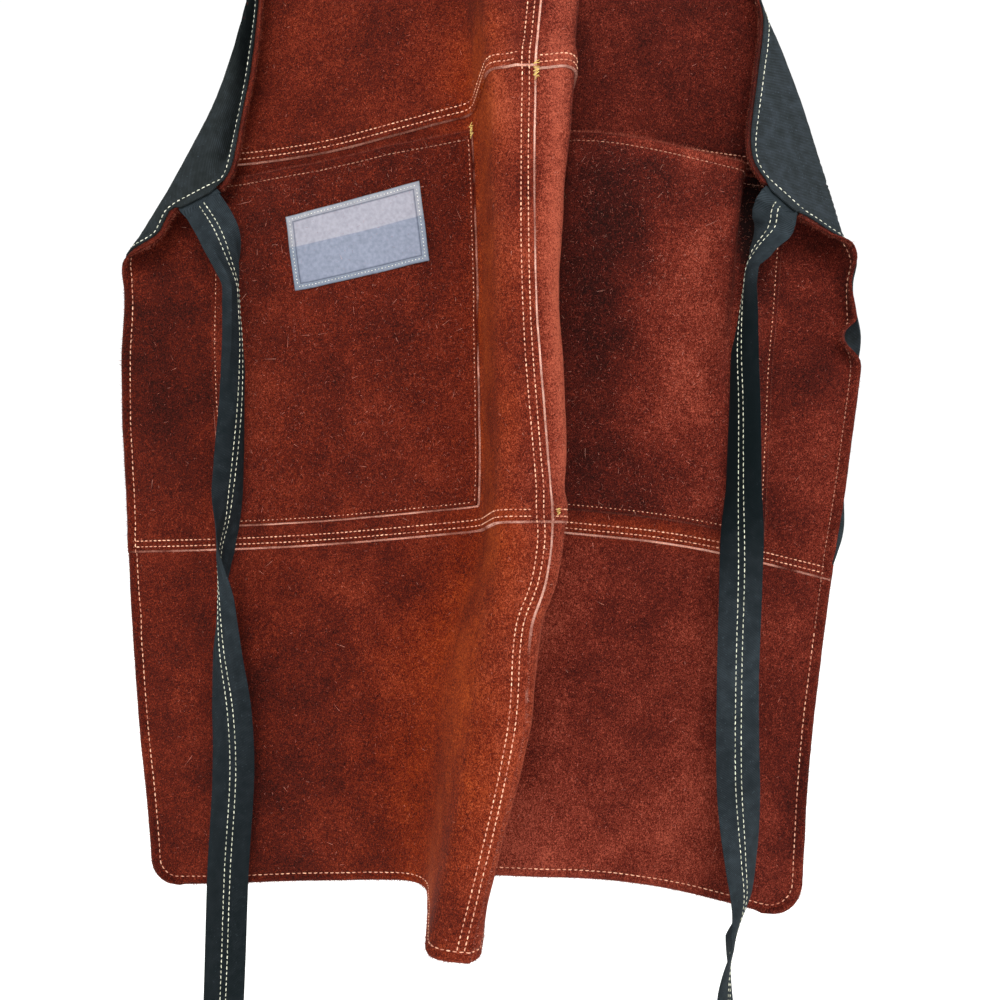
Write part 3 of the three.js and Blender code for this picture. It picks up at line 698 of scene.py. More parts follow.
def woven_label(name):
    """Fine damask: two flat tones, crossed by hair-thin weft lines."""
    material, tree = new_material(name)
    flat = node(tree, "UVMap").outputs["UV"]
    apart = node(tree, "SeparateXYZ", {0: flat}).outputs
    up = apart["Y"]
    weft = node(tree, "TexWave", {
        "Vector": flat, "Scale": WAVE_PERIOD * every(WEFT), "Distortion": 0.4,
    }, bands_direction="Y").outputs["Fac"]
    where = node(tree, "TexCoord").outputs["Object"]
    lumps = {"Vector": where, "Scale": every(LABEL_SLUB), "Detail": 4.0}
    slub = node(tree, "TexNoise", lumps).outputs["Fac"]
    tone = node(tree, "Math", {0: weft, 1: 0.3, 2: slub}, operation="MULTIPLY_ADD").outputs[0]
    lower = node(tree, "ValToRGB", {"Fac": tone}, stops=[(0.3, "#5e6474"), (1.0, "#7e8494")])
    upper = node(tree, "ValToRGB", {"Fac": tone}, stops=[(0.3, "#787781"), (1.0, "#95949e")])
    ends = {1: FIELD_CHANGE * MM, 2: (FIELD_CHANGE + FIELD_BLEND) * MM}
    change = node(tree, "MapRange", {0: up, **ends}).outputs[0]
    colour = node(tree, "Mix", {
        0: change, 6: lower.outputs["Color"], 7: upper.outputs["Color"],
    }, data_type="RGBA").outputs[2]
    inside = []
    for axis, size in (("X", LABEL["wide"]), ("Y", LABEL["tall"])):
        away = node(tree, "Math", {0: apart[axis]}, operation="ABSOLUTE").outputs[0]
        inside.append(node(tree, "Math", {0: size / 2 * MM, 1: away}, operation="SUBTRACT").outputs[0])
    edge = node(tree, "Math", {0: inside[0], 1: inside[1]}, operation="MINIMUM").outputs[0]
    edge = node(tree, "MapRange", {0: edge, 1: 0.0, 2: LABEL_FOLD * MM}).outputs[0]
    fold = node(tree, "ValToRGB", {"Fac": edge}, stops=[
        (0.0, "#b9bfc0"), (1.0, "#ffffff"), (0.12, "#f2f5f2"), (0.42, "#f2f5f2"), (0.48, "#9aa0ac"),
        (0.6, "#ffffff"),
    ]).outputs["Color"]
    shaded = {0: 1.0, 6: colour, 7: fold}
    colour = node(tree, "Mix", shaded, data_type="RGBA", blend_type="MULTIPLY").outputs[2]
    bump = node(tree, "Bump", {"Height": weft, "Strength": 0.3, "Distance": 0.25 * MM})
    shader = node(tree, "BsdfPrincipled", {
        "Base Color": colour, "Normal": bump.outputs["Normal"],
        "Roughness": 0.6, "Specular IOR Level": 0.3, "Sheen Weight": 0.1, "Sheen Roughness": 0.4,
    })
    node(tree, "OutputMaterial", {"Surface": shader.outputs["BSDF"]})
    return material


label_weave = woven_label("woven_label_cloth")
print("material:", label_weave.name)

# %% [markdown]
# ## Lapped suede panels
# The left column laps over the right and each panel laps over the one below, so a panel climbs a
# ramp wherever it lies on its neighbour. Flat sheets that cut through each other would look the same
# from far off, but the seams would have no thickness. The lapped edge is skived: its face stops short
# of its back, which turns the pale cut towards the eye. Raw outer edges are a little swollen and round.

# %% Lifts of the lapped layers
SKIVE, CENTRE_SKIVE = 1.45, 0.8
SEAM_SKIVE = {LOWER_SEAM: 1.0, UPPER_SEAM: 0.5}
SEAM_ROWS = (4.4, 8.9)
EDGE_ROW = 6.0
TIE_WIDE, TIE_AT, TIE_NOTCH = 30, {-1: 549, 1: 562}, 6.0
GROOVE, GROOVE_WIDE = 0.45, 1.5


def ramp(value, full, none):
    """One up to full, falling straight to zero at none."""
    return np.clip((none - value) / (none - full), 0, 1)


def at_tie(side, up, soft=8):
    """One where a tie is sewn in, fading to nothing beside it."""
    return 1 - smoothstep(TIE_WIDE / 2 - soft / 2, TIE_WIDE / 2 + soft / 2, np.abs(up - TIE_AT[side]))


def over_lower(up, seam):
    """One where a panel lies on the panel below it."""
    return ramp(up, seam + LAP, seam + LAP + LAP_RAMP)


def crossing(up):
    """How many layers the left column climbs at the centre seam: two where a level seam crosses it."""
    bands = [np.minimum(ramp(up, s, s - LAP_RAMP), over_lower(up, s)) for s in (LOWER_SEAM, UPPER_SEAM)]
    return 1 + np.maximum(*bands)


def lap_lift(side, seam, out, up):
    """How far a panel's back is lifted by the panels that it lies on."""
    over = ramp(-out, LAP, LAP + LAP_RAMP) * crossing(up) if side < 0 else 0
    return LAYER * (over + (over_lower(up, seam) if seam else 0))


def grooves(side, seam, out, up):
    """The thread pulls a shallow groove into the face along every row of stitches."""
    depth = 0
    lines = [side * out - cut_edge(side, up) + EDGE_ROW]
    if side < 0:
        lines += [out + row for row in SEAM_ROWS]
    if seam:
        lines += [up - seam - row for row in SEAM_ROWS]
    else:
        lines.append(up - EDGE_ROW)
    for line in lines:
        depth = depth + np.exp(-((line / GROOVE_WIDE) ** 2))
    return GROOVE * np.minimum(depth, 1)


RIM_SWELL, RIM_BAND = 0.55, 4.5
RIM_ROUND, RIM_LEAST = 2.8, 0.35


def suede_thick(from_edge):
    """Thickness near a raw edge: swollen by loose fibres, then rounded off."""
    swollen = SUEDE * (1 + RIM_SWELL * np.exp(-((from_edge / RIM_BAND) ** 2)))
    inward = 1 - np.clip(from_edge / RIM_ROUND, 0, 1)
    return swollen * (RIM_LEAST + (1 - RIM_LEAST) * np.sqrt(1 - inward**2))


def suede_top(out, up):
    """Height of the outermost suede face at any place, without the pockets."""
    seam = np.where(up >= UPPER_SEAM, UPPER_SEAM, LOWER_SEAM)
    left = np.where(up >= LOWER_SEAM, over_lower(up, seam), 0)
    over = np.where(out <= 0, ramp(-out, LAP, LAP + LAP_RAMP) * crossing(up), 0)
    return LAYER * (over + left) + SUEDE


print("skived", SKIVE, "mm at the laps")

# %% [markdown]
# ### Nap, painted light and shade, rust tint and cut places
# The nap lies paler or darker in soft patches, and over it lie painted highlights on the crest of the
# ridge, painted shadows beside the pockets and painted light that lifts shade. The flank of the ridge is
# tinted rust, partly as painted warm bounce light, and some cut edges are still raw while others have
# gone dark. They could be painted by hand. A short table of soft spots says the same and can be read
# and changed.

# %% Nap, painted light and shade, and rust tint of the suede
NAP_AND_PAINTED_LIGHT = named("out up wide tall amount", [
    [-330, 420, 50, 110, -0.26],
    [-230, 60, 110, 140, -0.1],
    [-150, 720, 60, 140, 0.04],
    [-105, 740, 30, 120, -0.1],
    # Painted light that lifts the shade under the left corner.
    [-245, 760, 30, 80, 0.08],
    [-120, 90, 60, 60, -0.04],
    [-18, 420, 18, 280, 0.07],
    [-20, 620, 20, 50, 0.12],
    [-25, 525, 25, 30, 0.28],
    [-14, 140, 18, 120, 0.12],
    # Painted highlight down the crest of the ridge, right of the centre seam, in these two rows.
    [16, 420, 14, 260, 0.56],
    [14, 120, 16, 160, 0.28],
    # Painted light that lifts the shade at the foot of the ridge.
    [125, 25, 35, 45, 0.3],
    [112, 190, 20, 60, 0.18],
    # Painted light that lifts the shade beside the right tie.
    [240, 110, 25, 130, 0.18],
    [170, 150, 120, 110, 0.06],
    [210, 20, 150, 55, 0.2],
    [112, 790, 42, 110, 0.15],
    [185, 760, 36, 110, -0.1],
    [290, 400, 50, 120, 0.06],
    [165, 263, 75, 9, 0.12],
])
RUST = named("out up wide tall amount", [
    [165, 263, 75, 10, 0.42],
])
POCKET_NAP_AND_PAINTED_LIGHT = named("out up wide tall amount", [
    [-150, 535, 110, 30, -0.05],
    # Painted shadow of the left corner on the left pocket.
    [-275, 470, 30, 50, -0.14],
    [-115, 480, 30, 40, -0.14],
    # Painted shade beside the ridge on the right pocket.
    [130, 460, 28, 130, -0.2],
    [198, 400, 38, 120, 0.34],
    # Painted highlight along the lip of the right pocket's mouth.
    [180, 546, 80, 9, 0.25],
    # Painted shadow in the deep slot between the right pocket and the rolled corner.
    [240, 512, 10, 45, -0.9],
])


# The rust tint of the flank, partly painted warm bounce light, lies between the shoulder and the dip,
# wider near the hem and fainter on the bib.
FLANK_AT, FLANK_WIDE, FLANK_MORE = (0.45, 0.55), 0.52, 8
LOW_MORE, LOW_UPS = 14, (180, 300)
BIB_LESS, BIB_UPS = 0.6, (550, 620)
FLANK_MEAN, FLANK_UNEVEN = 0.85, [(38, 0.3, 21)]
WARM_LEFT, WARM_OUTS = 0.22, (-10, -70)
# A cut is paler high up, dark near the hem, and dark on both steep sides of the upper ridge.
RAW_MEAN, RAW_HIGH, RAW_LOW = 0.66, 0.2, 0.95
RAW_FLANK, RAW_RIGHT, RIGHT_OUTS = 0.9, 0.5, (14, 22)
HIGH_UPS, HEM_UPS, STEEP_UPS = (450, 650), (150, 250), (300, 500)
RAW_UNEVEN, NAP_UNEVEN = [(24, 0.55, 24), (7, 0.3, 25)], [(60, 0.05, 22), (26, 0.04, 23)]


def spots_on(out, up, spots):
    """The sum of a table of soft round spots."""
    tone = 0
    for at, height, wide, tall, amount in zip(*spots.values()):
        tone = tone + amount * np.exp(-(((out - at) / wide) ** 2) - ((up - height) / tall) ** 2)
    return tone


def flank_on(out, up):
    """One down the left flank of the ridge, fading to nothing beside it and fainter on the bib."""
    shoulder, valley = station(LEFT_SHOULDER, up), station(LEFT_DIP, up)
    middle = FLANK_AT[0] * shoulder + FLANK_AT[1] * valley
    wide = FLANK_WIDE * (shoulder - valley) + FLANK_MORE
    wide = wide + LOW_MORE * (1 - smoothstep(*LOW_UPS, up))
    flank = np.exp(-(((out - middle) / wide) ** 2))
    dimmed = 1 - BIB_LESS * smoothstep(*BIB_UPS, up)
    return dimmed * flank * (FLANK_MEAN + uneven(out, up, FLANK_UNEVEN))


def rust_and_bounce_on(out, up, wear_and_bounce=1.0):
    """Rust tint: partly painted bounce light on the flank, under a pocket, and a little on all the left
    half.
    """
    warmer = WARM_LEFT * smoothstep(*WARM_OUTS, out)
    return wear_and_bounce * flank_on(out, up) + warmer + spots_on(out, up, RUST)


def pale_on(out, up):
    """A cut edge is raw and pale in some stretches, and rubbed dark in others."""
    wear_and_bounce = uneven(out, up, RAW_UNEVEN)
    aged = RAW_HIGH * smoothstep(*HIGH_UPS, up) - RAW_LOW * (1 - smoothstep(*HEM_UPS, up))
    steep = RAW_FLANK * flank_on(out, up) + RAW_RIGHT * smoothstep(*RIGHT_OUTS, out)
    return np.clip(RAW_MEAN + aged - steep * smoothstep(*STEEP_UPS, up) + wear_and_bounce, 0, 1)


def nap_and_light_on(out, up, brushed_and_lit):
    """Where the nap is brushed up (paler) or down (darker), plus the painted light and shade of the
    spots.
    """
    return uneven(out, up, NAP_UNEVEN) + spots_on(out, up, brushed_and_lit)


print(len(NAP_AND_PAINTED_LIGHT["out"]), "brushed places")

# %% [markdown]
# ### The six panels
# Each panel is one sheet, laid on the form at the height that its lap gives it. One big sheet with
# seams drawn on would be less work, but then no edge would lie on another. The numbers for rust tint,
# nap and raw cut are kept on its points, with painted light and shade in the rust and nap numbers, and
# the piece is made as a sheet with its flat pattern as its UV map.

# %% Six panels
# The second number lifts the flank of the ridge with painted light.
CUT_BAND, FLANK_PAINTED_LIGHT = 3, 0.2
PANELS = [
    ("skirt", 0, LOWER_SEAM + LAP, None),
    ("middle", LOWER_SEAM, UPPER_SEAM + LAP, LOWER_SEAM),
    ("bib", UPPER_SEAM, BIB_TOP, UPPER_SEAM),
]


def suede_panel(part, word, side, low, high, seam):
    """One panel of the hide, from its lower edge to where it is tucked under the next."""
    ups = stops(low, high)
    rim = cut_edge(side, ups) - TIE_NOTCH * at_tie(side, ups)
    start, end = (-rim, np.zeros_like(ups)) if side < 0 else (np.full_like(ups, -LAP), rim)
    out = columns(start, end)
    up = np.repeat(ups[:, None], out.shape[1], 1)
    lift = lap_lift(side, seam, out, up)
    from_edge = np.minimum(rim[:, None] - side * out, BIB_TOP - up)
    if seam is None:
        from_edge = np.minimum(from_edge, up)
    face_out, face_up = out.copy(), up.copy()
    if side < 0:
        face_out = np.minimum(face_out, -SKIVE * CENTRE_SKIVE)
    if seam:
        face_up = np.maximum(face_up, seam + SKIVE * SEAM_SKIVE[seam])
    face = lift + suede_thick(from_edge) - grooves(side, seam, out, up)
    front, back = place(face_out, face_up, face), place(out, up, lift)
    piece = sheet(f"suede_{part}_{word}", front, back, np.stack([out, up], -1), [suede, cut_suede])
    # The rust number holds painted bounce light on the flank, the nap number painted light and shade.
    note(piece, "rust_and_bounce", rust_and_bounce_on(out, up))
    note(piece, "nap_and_painted_light", nap_and_light_on(out, up, NAP_AND_PAINTED_LIGHT) + FLANK_PAINTED_LIGHT * flank_on(out, up))
    lapped = np.zeros_like(out)
    if side < 0:
        lapped = np.maximum(lapped, 1 - np.clip(-out / CUT_BAND, 0, 1))
    if seam:
        lapped = np.maximum(lapped, 1 - np.clip((up - seam) / CUT_BAND, 0, 1))
    note(piece, "pale", lapped * pale_on(out, up))
    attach(piece, "root")
    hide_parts(f"{part}_{word}")
    return piece


panels = [
    suede_panel(part, word, side, low, high, seam)
    for side, word in ((-1, "left"), (1, "right"))
    for part, low, high, seam in PANELS
]
print("panels:", {p.name: len(p.data.polygons) for p in panels})

# %% [markdown]
# ## Lining
# The lining backs the whole apron and is what shows on the flopped corners. It stops a little inside
# the raw edge of the hide, except at the ties, which are sewn in between and hide that edge. A copy of
# the hide pushed back would do for the middle, but the lining has its own outline and a folded hem.

# %% Twill lining
LINING_GAP, LINING_INSET, TIE_COVER = 0.55, 4.0, 5.5
LINING_ROWS, LINING_COLUMNS = 4.4, 4.1
HEM_THICK, HEM_STEP = 0.5, (7.5, 9.0)
# The right side is drawn a little lighter, and the strip that is rolled inwards at the upper left is
# darkened with painted shade.
RIGHT_LIGHTER, RIGHT_LIGHTER_OUTS = 0.13, (150, 260)
ROLLED_SHADE, ROLLED_FROM, ROLLED_TO, ROLLED_IN = 0.3, (610, 650), (720, 800), (100, 50)
PEEKS = named("up tall reach", [[430, 22, 3.5], [290, 30, 7.0]])


def lining_inset(side, up):
    """The lining covers the edge where a tie comes out, and peeks out on the right in two places."""
    inset = LINING_INSET - TIE_COVER * at_tie(side, up)
    if side > 0:
        for at, tall, reach in zip(*PEEKS.values()):
            inset = inset - reach * np.exp(-(((up - at) / tall) ** 2))
    return inset


def lining_piece():
    """One sheet with its hem folded to the back, lighter on the right, with painted shade in the rolled
    strip.
    """
    ups = stops(LINING_INSET, BIB_TOP - LINING_INSET, LINING_ROWS)
    left, right = (cut_edge(side, ups) - lining_inset(side, ups) for side in (-1, 1))
    out = columns(-left, right, LINING_COLUMNS)
    up = np.repeat(ups[:, None], out.shape[1], 1)
    edge = np.minimum(out + left[:, None], right[:, None] - out)
    hem = HEM_THICK * (1 - smoothstep(*HEM_STEP, edge))
    lift = np.full_like(out, -LINING_GAP)
    front, back = place(out, up, lift, backing), place(out, up, lift - TWILL - hem, backing)
    piece = sheet("twill_lining", front, back, np.stack([out, up], -1), [lining_twill, lining_twill])
    rolled = smoothstep(*ROLLED_FROM, up) * (1 - smoothstep(*ROLLED_TO, up))
    rolled = rolled * smoothstep(*ROLLED_IN, out + cut_edge(-1, up))
    # Painted shade darkens the rolled strip.
    note(piece, "painted_light_and_tone", RIGHT_LIGHTER * smoothstep(*RIGHT_LIGHTER_OUTS, out) - ROLLED_SHADE * rolled)
    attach(piece, "root")
    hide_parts("lining")
    return piece


lining = lining_piece()
print("lining:", len(lining.data.polygons), "faces")

# %% [markdown]
# ## Patch pockets
# A pocket is one more piece of hide sewn down on three sides. Old use has bellied them: the right one
# gapes at the mouth and turns back sharply beside the flopped corner. Inflating a flat patch would
# swell both alike, so the belly is a sine between the sewn sides, and the gape a short table.

# %% Form of the pockets
POCKET_FOOT, POCKET_GAP, FULL_BELLY = 272, 0.35, 0.55
POCKETS = named("side outerFoot outerMouth mouth belly gape", [
    [-1, 296, 288, 541, 13, 0],
    [1, 256, 266, 547, 13, 1],
])
GAPE = named("share forward", [
    [0, 26], [0.05, 32], [0.14, 36], [0.35, 37], [0.5, 35], [0.62, 32], [0.74, 26], [0.765, 23],
    [0.79, 2], [0.82, 0], [1, 0],
])
GAPE_FROM, MOST_SHARE = 0.25, 1.05
CLEAR_OF_RIDGE, CLEAR_SHARE, POCKET_STEP = 1.5, 0.2, 2.6
POCKET_SKIVE, POCKET_CUT_BAND = 1.1, 2
POCKET_RAW, MOUTH_RAW = {"left": 0.9, "right": 0.05}, 0.25
POCKET_SHADE, POCKET_FLANK_TINT = {"left": 0.0, "right": -0.03}, 0.35
POCKET_ROW, MOUTH_ROW = 3.8, 6.5


def pocket_share(i, up):
    """Zero at a pocket's foot and one at its mouth."""
    return (up - POCKET_FOOT) / (POCKETS["mouth"][i] - POCKET_FOOT)


def pocket_span(i, up):
    """A pocket's two sides at a height: one along the ridge's valley, one straight."""
    side, t = POCKETS["side"][i], pocket_share(i, up)
    outer = POCKETS["outerFoot"][i] + (POCKETS["outerMouth"][i] - POCKETS["outerFoot"][i]) * t
    inner = np.abs(station(LEFT_DIP if side < 0 else RIGHT_DIP, up))
    return (-outer, -inner) if side < 0 else (inner, outer)


def pocket_back(i):
    """The surface of a pocket's back: sewn at its sides and foot, bellied forward in between."""
    def surface(out, up):
        start, end = pocket_span(i, up)
        across = np.clip((out - start) / (end - start), 0, 1)
        height = np.clip(pocket_share(i, up), 0, MOST_SHARE)
        belly = np.sin(math.pi * across) * np.sin(math.pi / 2 * np.clip(height / FULL_BELLY, 0, 1))
        forward = POCKETS["belly"][i] * belly
        gape = POCKETS["gape"][i] * smoothstep(GAPE_FROM, 1.0, height)
        forward = forward * (1 - gape) + np.interp(across, *GAPE.values()) * gape
        ground = lap_lift(POCKETS["side"][i], LOWER_SEAM, out, up) + SUEDE + POCKET_GAP
        p = place(out, up, ground)
        p[..., 0] += CLEAR_OF_RIDGE * gape * (1 - smoothstep(0, CLEAR_SHARE, across))
        p[..., 1] -= forward
        return p
    return surface


print("pockets from", POCKET_FOOT, "mm up to", POCKETS["mouth"].tolist(), "mm above the hem")

# %% The two pockets
def patch_pocket(i, word):
    """One pocket, skived on its sewn sides and thick at its mouth."""
    mouth = POCKETS["mouth"][i]
    ups = stops(POCKET_FOOT, mouth)
    out = columns(*pocket_span(i, ups), POCKET_STEP)
    up = np.repeat(ups[:, None], out.shape[1], 1)
    start, end = (line[:, None] for line in pocket_span(i, ups))
    sewn = np.minimum(np.minimum(out - start, end - out), up - POCKET_FOOT)
    from_edge = np.minimum(sewn, mouth - up)
    depth = np.exp(-(((sewn - POCKET_ROW) / GROOVE_WIDE) ** 2))
    depth = np.maximum(depth, np.exp(-(((mouth - up - MOUTH_ROW) / GROOVE_WIDE) ** 2)))
    surface = pocket_back(i)
    face_out = np.clip(out, start + POCKET_SKIVE, end - POCKET_SKIVE)
    face_up = np.maximum(up, POCKET_FOOT + POCKET_SKIVE)
    front = place(face_out, face_up, suede_thick(from_edge) - GROOVE * depth, surface)
    flat = np.stack([out, up], -1)
    piece = sheet(f"suede_pocket_{word}", front, surface(out, up), flat, [suede, cut_suede])
    # Rust tint with a share of the flank's painted bounce light; nap with painted light and shade.
    note(piece, "rust_and_bounce", rust_and_bounce_on(out, up, POCKET_FLANK_TINT))
    note(piece, "nap_and_painted_light", POCKET_SHADE[word] + nap_and_light_on(out, up, POCKET_NAP_AND_PAINTED_LIGHT))
    raw = np.where(sewn < POCKET_CUT_BAND, POCKET_RAW[word], MOUTH_RAW)
    note(piece, "pale", raw * pale_on(out, up))
    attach(piece, "root")
    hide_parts(f"pocket_{word}")
    return piece


pockets = [patch_pocket(i, word) for i, word in enumerate(("left", "right"))]
print("pockets:", {p.name: len(p.data.polygons) for p in pockets})

# %% [markdown]
# ## Label
# A small woven patch, sewn aslant on the left pocket with a white row close to its folded edge. It
# could be shrunk onto the pocket with a modifier. Here it is laid on the same formula as the pocket,
# which keeps an even gap under it.

# %% Blank woven label
def label_spot(across, rise):
    """Pattern place of a point of the label, from its middle."""
    tilt = math.radians(LABEL["tilt"])
    across = across - LABEL["lean"] * rise
    out = -LABEL["out"] + across * math.cos(tilt) - rise * math.sin(tilt)
    return out, LABEL["up"] + across * math.sin(tilt) + rise * math.cos(tilt)


LABEL_GAP, LABEL_GRID = 0.25, (61, 35)
LABEL_ROW, LABEL_DENT = 2.6, 0.25
LABEL_HEM, LABEL_HEM_STEP = 0.35, (4.0, 5.0)
label_ground = pocket_back(0)


def label_piece():
    """The label: thicker where its edge is folded under, pressed in along its row of stitches."""
    across, rise = np.meshgrid(
        np.linspace(-LABEL["wide"] / 2, LABEL["wide"] / 2, LABEL_GRID[0]),
        np.linspace(-LABEL["tall"] / 2, LABEL["tall"] / 2, LABEL_GRID[1]),
    )
    out, up = label_spot(across, rise)
    edge = np.minimum(LABEL["wide"] / 2 - np.abs(across), LABEL["tall"] / 2 - np.abs(rise))
    folded = LABEL_HEM * (1 - smoothstep(*LABEL_HEM_STEP, edge))
    folded = folded - LABEL_DENT * np.exp(-(((edge - LABEL_ROW) / 0.8) ** 2))
    lift = np.full_like(out, SUEDE + LABEL_GAP)
    back = place(out, up, lift, label_ground)
    front = place(out, up, lift + LABEL["thick"] + folded, label_ground)
    piece = sheet("woven_label", front, back, np.stack([across, rise], -1), [label_weave, label_weave])
    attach(piece, "root")
    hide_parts("label_patch")
    return piece


label = label_piece()
print("label:", len(label.data.polygons), "faces")

# %% [markdown]
# ## Ties and neck strap
# Each is a strip of twill folded to 30 mm and sewn with two rows down the middle. A hung tie twists
# and folds along its length, so its route has a row for each bend: place, the way its width points,
# and how far it curls. Flat straps are modelled straight along the route, with no simulation.

# %% Routes of the ties and the strap
TIE_LEFT = named("x y z heading curl", [
    [-202, -4, -707, 14, -20],
    [-194, -5, -728, 60, -70],
    [-188, -5, -747, 92, -130],
    [-187, -4, -765, 92, -160],
    [-186, -3, -787, 82, -165],
    [-187, -2, -827, 64, -160],
    [-190, -1, -860, 57, -110],
    [-194, 0, -893, 59, -50],
    [-198, 3, -915, 73, 20],
    [-204, 6, -938, 84, 100],
    [-204, 6, -973, 124, 120],
    [-202, 6, -1009, 152, 90],
    [-196, 6, -1053, 176, 45],
    [-194, 6, -1096, 186, 30],
    [-198, 6, -1170, 183, 30],
    [-200, 6, -1230, 180, 25],
    [-203, 6, -1321, 172, 20],
    [-203, 6, -1394, 176, 20],
    [-203, 6, -1463, 180, 20],
])
TIE_RIGHT = named("x y z heading curl", [
    [189, -22, -710, -32, -40],
    [178, -21, -725, -63, -90],
    [173, -19, -736, -104, -140],
    [171, -18, -750, -104, -140],
    [169, -18, -770, -82, -110],
    [168, -18, -795, -64, -70],
    [169, -18, -830, -60, -50],
    [169, -18, -893, -50, -40],
    [169, -18, -949, -6, -30],
    [167, -18, -1026, 3, -25],
    [167, -18, -1100, -8, -25],
    [170, -18, -1152, 29, -30],
    [171, -18, -1182, 50, -40],
    [163, -18, -1212, 82, -50],
    [160, -18, -1240, 61, -50],
    [161, -18, -1292, 40, -40],
    [165, -18, -1355, 12, -30],
    [167, -18, -1418, 0, -20],
    [167, -18, -1474, 4, -20],
])
NECK = named("x y z heading curl", [
    [-102, 20, -262, 4, 0],
    [-80, 15, -205, 20, 8],
    [-54, 7, -135, 50, 16],
    [-32, 3, -72, 76, 12],
    [-17, 0, -24, 90, 0],
    [-10, 0, -6, 90, 0],
    [0, 0, 0.8, 90, 0],
    [10, 0, -6, 90, 0],
    [18, 0, -24, 90, 0],
    [36, 3, -72, 104, 12],
    [64, 6, -135, 130, 16],
    [96, 13, -205, 160, 8],
    [124, 17, -262, 176, 0],
])
print(len(TIE_LEFT["x"]), "bends in the left tie,", len(TIE_RIGHT["x"]), "in the right one")

# %% A strap along its route
STRAP_ROW, STRAP_STEP, LEAD_RUN = 2.05, 2.6, 5
LEAST_CURL, ROUTE_NUDGE, ROUTE_POINTS = 0.02, 0.01, 1500


def smooth_route(points, t):
    """Centripetal curve through points, at t counted in points, and the way it runs there."""
    ends = np.array([2 * points[0] - points[1], *points, 2 * points[-1] - points[-2]])

    def at(t):
        i = np.clip(np.floor(t).astype(int), 0, len(points) - 2)
        p0, p1, p2, p3 = ends[i], ends[i + 1], ends[i + 2], ends[i + 3]
        d0, d1, d2 = (np.sqrt(np.linalg.norm(b - a, axis=-1))[:, None]
                      for a, b in ((p0, p1), (p1, p2), (p2, p3)))
        m1 = ((p1 - p0) / d0 - (p2 - p0) / (d0 + d1) + (p2 - p1) / d1) * d1
        m2 = ((p2 - p1) / d1 - (p3 - p1) / (d1 + d2) + (p3 - p2) / d2) * d1
        s = (t - i)[:, None]
        hermite = (2 * p1 - 2 * p2 + m1 + m2) * s**3 + (-3 * p1 + 3 * p2 - 2 * m1 - m2) * s**2
        return hermite + m1 * s + p1

    tangent = at(np.minimum(t + ROUTE_NUDGE, len(points) - 1)) - at(np.maximum(t - ROUTE_NUDGE, 0))
    return at(t), tangent / np.linalg.norm(tangent, axis=-1, keepdims=True)


class Band:
    """A hanging strap: frames along its route, and points on it by length and share of width."""

    def __init__(self, table, leads=()):
        route = np.stack([table["x"], table["y"], table["z"]], -1)
        heading = np.radians(table["heading"])
        across = np.stack([np.cos(heading), np.sin(heading), np.zeros_like(heading)], -1)
        curl = np.radians(table["curl"])
        for start, way, width in leads:
            route = np.vstack([start, start + LEAD_RUN * way, route])
            across = np.vstack([width, width, across])
            curl = np.concatenate([[0, 0], curl])
        dense = np.linspace(0, len(route) - 1, ROUTE_POINTS)
        centre, _ = smooth_route(route, dense)
        run = np.concatenate([[0], np.cumsum(np.linalg.norm(np.diff(centre, axis=0), axis=1))])
        self.length = float(run[-1])
        t = np.interp(np.linspace(0, self.length, round(self.length / STRAP_STEP) + 1), run, dense)
        self.centre, self.along = smooth_route(route, t)
        rows = np.arange(len(route))
        self.curl = np.interp(t, rows, curl)
        across = np.stack([np.interp(t, rows, across[:, k]) for k in range(3)], -1)
        across -= self.along * np.sum(across * self.along, 1, keepdims=True)
        self.across = across / np.linalg.norm(across, axis=1, keepdims=True)
        self.normal = np.cross(self.along, self.across)

    def points(self, share, lift):
        """Points at shares of the width (-0.5 to 0.5), lifted to one face or the other."""
        bend = np.where(np.abs(self.curl) < LEAST_CURL, LEAST_CURL, self.curl)[:, None]
        turn = bend * share
        side = TIE_WIDE / bend * np.sin(turn) - lift * np.sin(turn)
        deep = TIE_WIDE / bend * (1 - np.cos(turn)) + lift * np.cos(turn)
        sideways = self.across[:, None] * side[..., None]
        outwards = self.normal[:, None] * deep[..., None]
        return self.centre[:, None] + sideways + outwards


STRAP_EDGE, STRAP_SQUARE = 0.45, 6
STRAP_GROOVE, STRAP_GROOVE_WIDE = 0.22, 1.2
STRAP_SHARES = np.linspace(-0.5, 0.5, 17)
MIDDLE = len(STRAP_SHARES) // 2


def strap_lift(share):
    """Half thickness across a folded strip: thin at its folded edges, pressed in along the rows."""
    full = np.sqrt(np.clip(1 - np.abs(2 * share) ** STRAP_SQUARE, 0, 1))
    puff = STRAP / 2 * (STRAP_EDGE + (1 - STRAP_EDGE) * full)
    row = np.exp(-(((np.abs(share) * TIE_WIDE - STRAP_ROW) / STRAP_GROOVE_WIDE) ** 2))
    return puff - STRAP_GROOVE * row


bands = {"neck_strap": Band(NECK)}
print("neck strap hangs", round(bands["neck_strap"].length), "mm long")

# %% [markdown]
# ### Sewn ends of the straps
# A tie starts flat between the hide and the lining of a flopped corner, goes out through a notch in
# the edge and then hangs; the neck strap is sewn behind the corners of the bib. The flat ends are laid
# on the form like the panels, so that they follow its folds, and join on to the hanging routes.

# %% Sewn ends, and how a strap is finished
TIE_SEAT, TIE_FLUSH = 2 * LAYER + 2 * GAP, 0.7
TIE_INSET, TIE_BEYOND, TIE_SINK, ROOT_ROWS = 20, 4, (8, 1), 13
